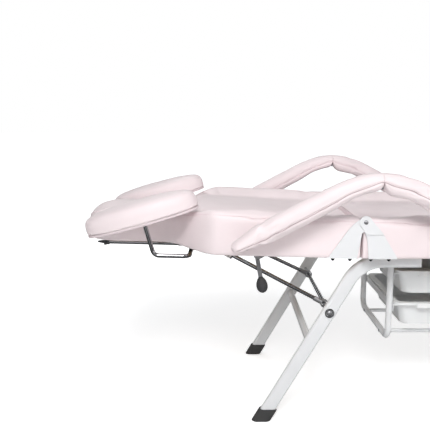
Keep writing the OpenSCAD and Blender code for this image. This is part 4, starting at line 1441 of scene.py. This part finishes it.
@dataclass
class Studio:
    """Pale floor, soft lamps and the camera.

    Attributes:
        lens: Focal length in millimetres.
        eye: Place of the camera.
        pitch: How far it looks down, in degrees.
        shift: Sideways shift of its picture.
        mirrored_floor: Brightness of the floor as shiny pieces mirror it.
        strip: Brightness of the light strip that they mirror.
    """

    lens: float = 49.14
    eye: tuple[float, float, float] = (-0.4798, -1.843, 0.874)
    pitch: float = 9.48
    shift: float = -0.0209
    mirrored_floor: float = 0.12
    strip: float = 1.6

    def floor(self) -> None:
        """Lay a wide pale floor."""
        clear_selection()
        bpy.ops.mesh.primitive_plane_add(size=60, location=(0, 0, 0))
        obj = bpy.context.active_object
        obj.name = "floor"
        material = bpy.data.materials.new("pale_floor")
        material.use_nodes = True
        tree = material.node_tree
        tree.nodes.clear()
        kit = NodeKit(tree)
        out = kit.add("ShaderNodeOutputMaterial")
        lit = kit.add("ShaderNodeBsdfDiffuse")
        lit.inputs["Color"].default_value = (0.9, 0.9, 0.9, 1)
        glow = kit.add("ShaderNodeEmission")
        away = kit.add("ShaderNodeVectorMath", operation="LENGTH")
        kit.link(kit.coords, away.inputs[0])
        kit.link(kit.spread(away.outputs["Value"], 0.9, 3.2, 0.5, 1.0), glow.inputs["Strength"])
        path = kit.add("ShaderNodeLightPath")
        both = kit.add("ShaderNodeAddShader")
        swap = kit.add("ShaderNodeMixShader")
        mirrored = kit.add("ShaderNodeMixShader")
        dim = kit.add("ShaderNodeBsdfDiffuse")
        dim.inputs["Color"].default_value = (self.mirrored_floor,) * 3 + (1,)
        kit.link(lit.outputs[0], both.inputs[0])
        kit.link(glow.outputs[0], both.inputs[1])
        kit.link(path.outputs["Is Glossy Ray"], mirrored.inputs[0])
        kit.link(lit.outputs[0], mirrored.inputs[1])
        kit.link(dim.outputs[0], mirrored.inputs[2])
        kit.link(path.outputs["Is Camera Ray"], swap.inputs[0])
        kit.link(mirrored.outputs[0], swap.inputs[1])
        kit.link(both.outputs[0], swap.inputs[2])
        kit.link(swap.outputs[0], out.inputs["Surface"])
        obj.data.materials.append(material)

    def world(self) -> None:
        """White for the camera, a soft fill for light, and a dark horizon in reflections."""
        world = bpy.data.worlds.new("studio")
        bpy.context.scene.world = world
        world.use_nodes = True
        tree = world.node_tree
        tree.nodes.clear()
        kit = NodeKit(tree)
        out = kit.add("ShaderNodeOutputWorld")
        fill = self.sky(kit, (0.97, 0.98, 1.0), 0.32)
        seen = self.sky(kit, (1, 1, 1), 1.0)
        mirror = self.sky(kit, (1, 1, 1), 1.0)
        split = kit.add("ShaderNodeSeparateXYZ")
        kit.link(kit.add("ShaderNodeTexCoord").outputs["Generated"], split.inputs[0])
        bands = kit.add("ShaderNodeValToRGB")
        ramp = bands.color_ramp
        ramp.elements.remove(ramp.elements[1])
        ramp.elements[0].color = (0.02, 0.02, 0.02, 1)
        for at, grey in ((0.07, 0.02), (0.10, self.strip), (0.20, self.strip), (0.24, 0.02), (0.62, 0.02), (0.85, 1.0)):
            ramp.elements.new(at).color = (grey, grey, grey, 1)
        kit.link(split.outputs["Z"], bands.inputs["Fac"])
        kit.link(bands.outputs["Color"], mirror.inputs["Strength"])
        path = kit.add("ShaderNodeLightPath")
        last = fill
        for ray, sky in (("Is Glossy Ray", mirror), ("Is Transmission Ray", seen), ("Is Camera Ray", seen)):
            swap = kit.add("ShaderNodeMixShader")
            kit.link(path.outputs[ray], swap.inputs[0])
            kit.link(last.outputs[0], swap.inputs[1])
            kit.link(sky.outputs[0], swap.inputs[2])
            last = swap
        kit.link(last.outputs[0], out.inputs["Surface"])

    def sky(self, kit: NodeKit, colour: tuple[float, float, float], strength: float) -> bpy.types.Node:
        """One background shader of a colour and strength."""
        node = kit.add("ShaderNodeBackground", strength=strength)
        node.inputs["Color"].default_value = (*colour, 1)
        return node

    def lamp(self, name: str, at: Point, aim: Point, size: float, watts: float) -> None:
        """Hang one square soft box.

        Args:
            name: Name of the lamp.
            at: Where it hangs.
            aim: What it points at.
            size: Side of the box in metres.
            watts: Power.
        """
        data = bpy.data.lights.new(name, "AREA")
        data.size = size
        data.energy = watts
        obj = bpy.data.objects.new(name, data)
        bpy.context.collection.objects.link(obj)
        obj.location = at
        obj.rotation_mode = "QUATERNION"
        obj.rotation_quaternion = (Vector(aim) - Vector(at)).to_track_quat("-Z", "Y")

    def camera(self) -> None:
        """Set the camera."""
        data = bpy.data.cameras.new("camera")
        data.sensor_width = 36
        data.lens = self.lens
        data.shift_x = self.shift
        data.clip_end = 200
        obj = bpy.data.objects.new("camera", data)
        bpy.context.collection.objects.link(obj)
        obj.location = self.eye
        obj.rotation_euler = (math.radians(90 - self.pitch), 0, 0)
        bpy.context.scene.camera = obj

    def build(self) -> None:
        """Set up the whole studio."""
        self.camera()
        self.floor()
        self.world()
        self.lamp("key", (-0.5, -2.8, 2.7), (-0.1, 0, 0.55), 1.2, 77)
        self.lamp("side", (2.6, -2.4, 1.9), (0.1, 0, 0.5), 1.6, 18)
        self.lamp("rim", (-1.2, 2.2, 2.8), (0, 0, 0.5), 1.6, 18)
        self.lamp("low", (-0.9, -2.6, 0.35), (0, 0, 0.2), 1.2, 3)
        bpy.context.scene.view_settings.view_transform = "Standard"


def main() -> None:
    """Load the frame, dress it and report each piece."""
    logging.basicConfig(level=logging.INFO, format="%(name)s: %(message)s")
    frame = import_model()
    Metalwork(frame["nodes"]).dress()
    parts: list[bpy.types.Object] = []
    seat, back = SeatCushion(), BackCushion()
    parts += seat.build()
    parts += back.build()
    parts += Staples().build(seat, back)
    for side in Side:
        parts += ArmCover(side).build()
        parts += FootPad(side).build()
        parts += Slider(side).build()
    parts += ArmBrackets().build()
    parts += BoltCups().build()
    for obj in parts:
        log.info("%s: %d faces", obj.name, len(obj.data.polygons))
    Studio().build()


if __name__ == "__main__":
    main()
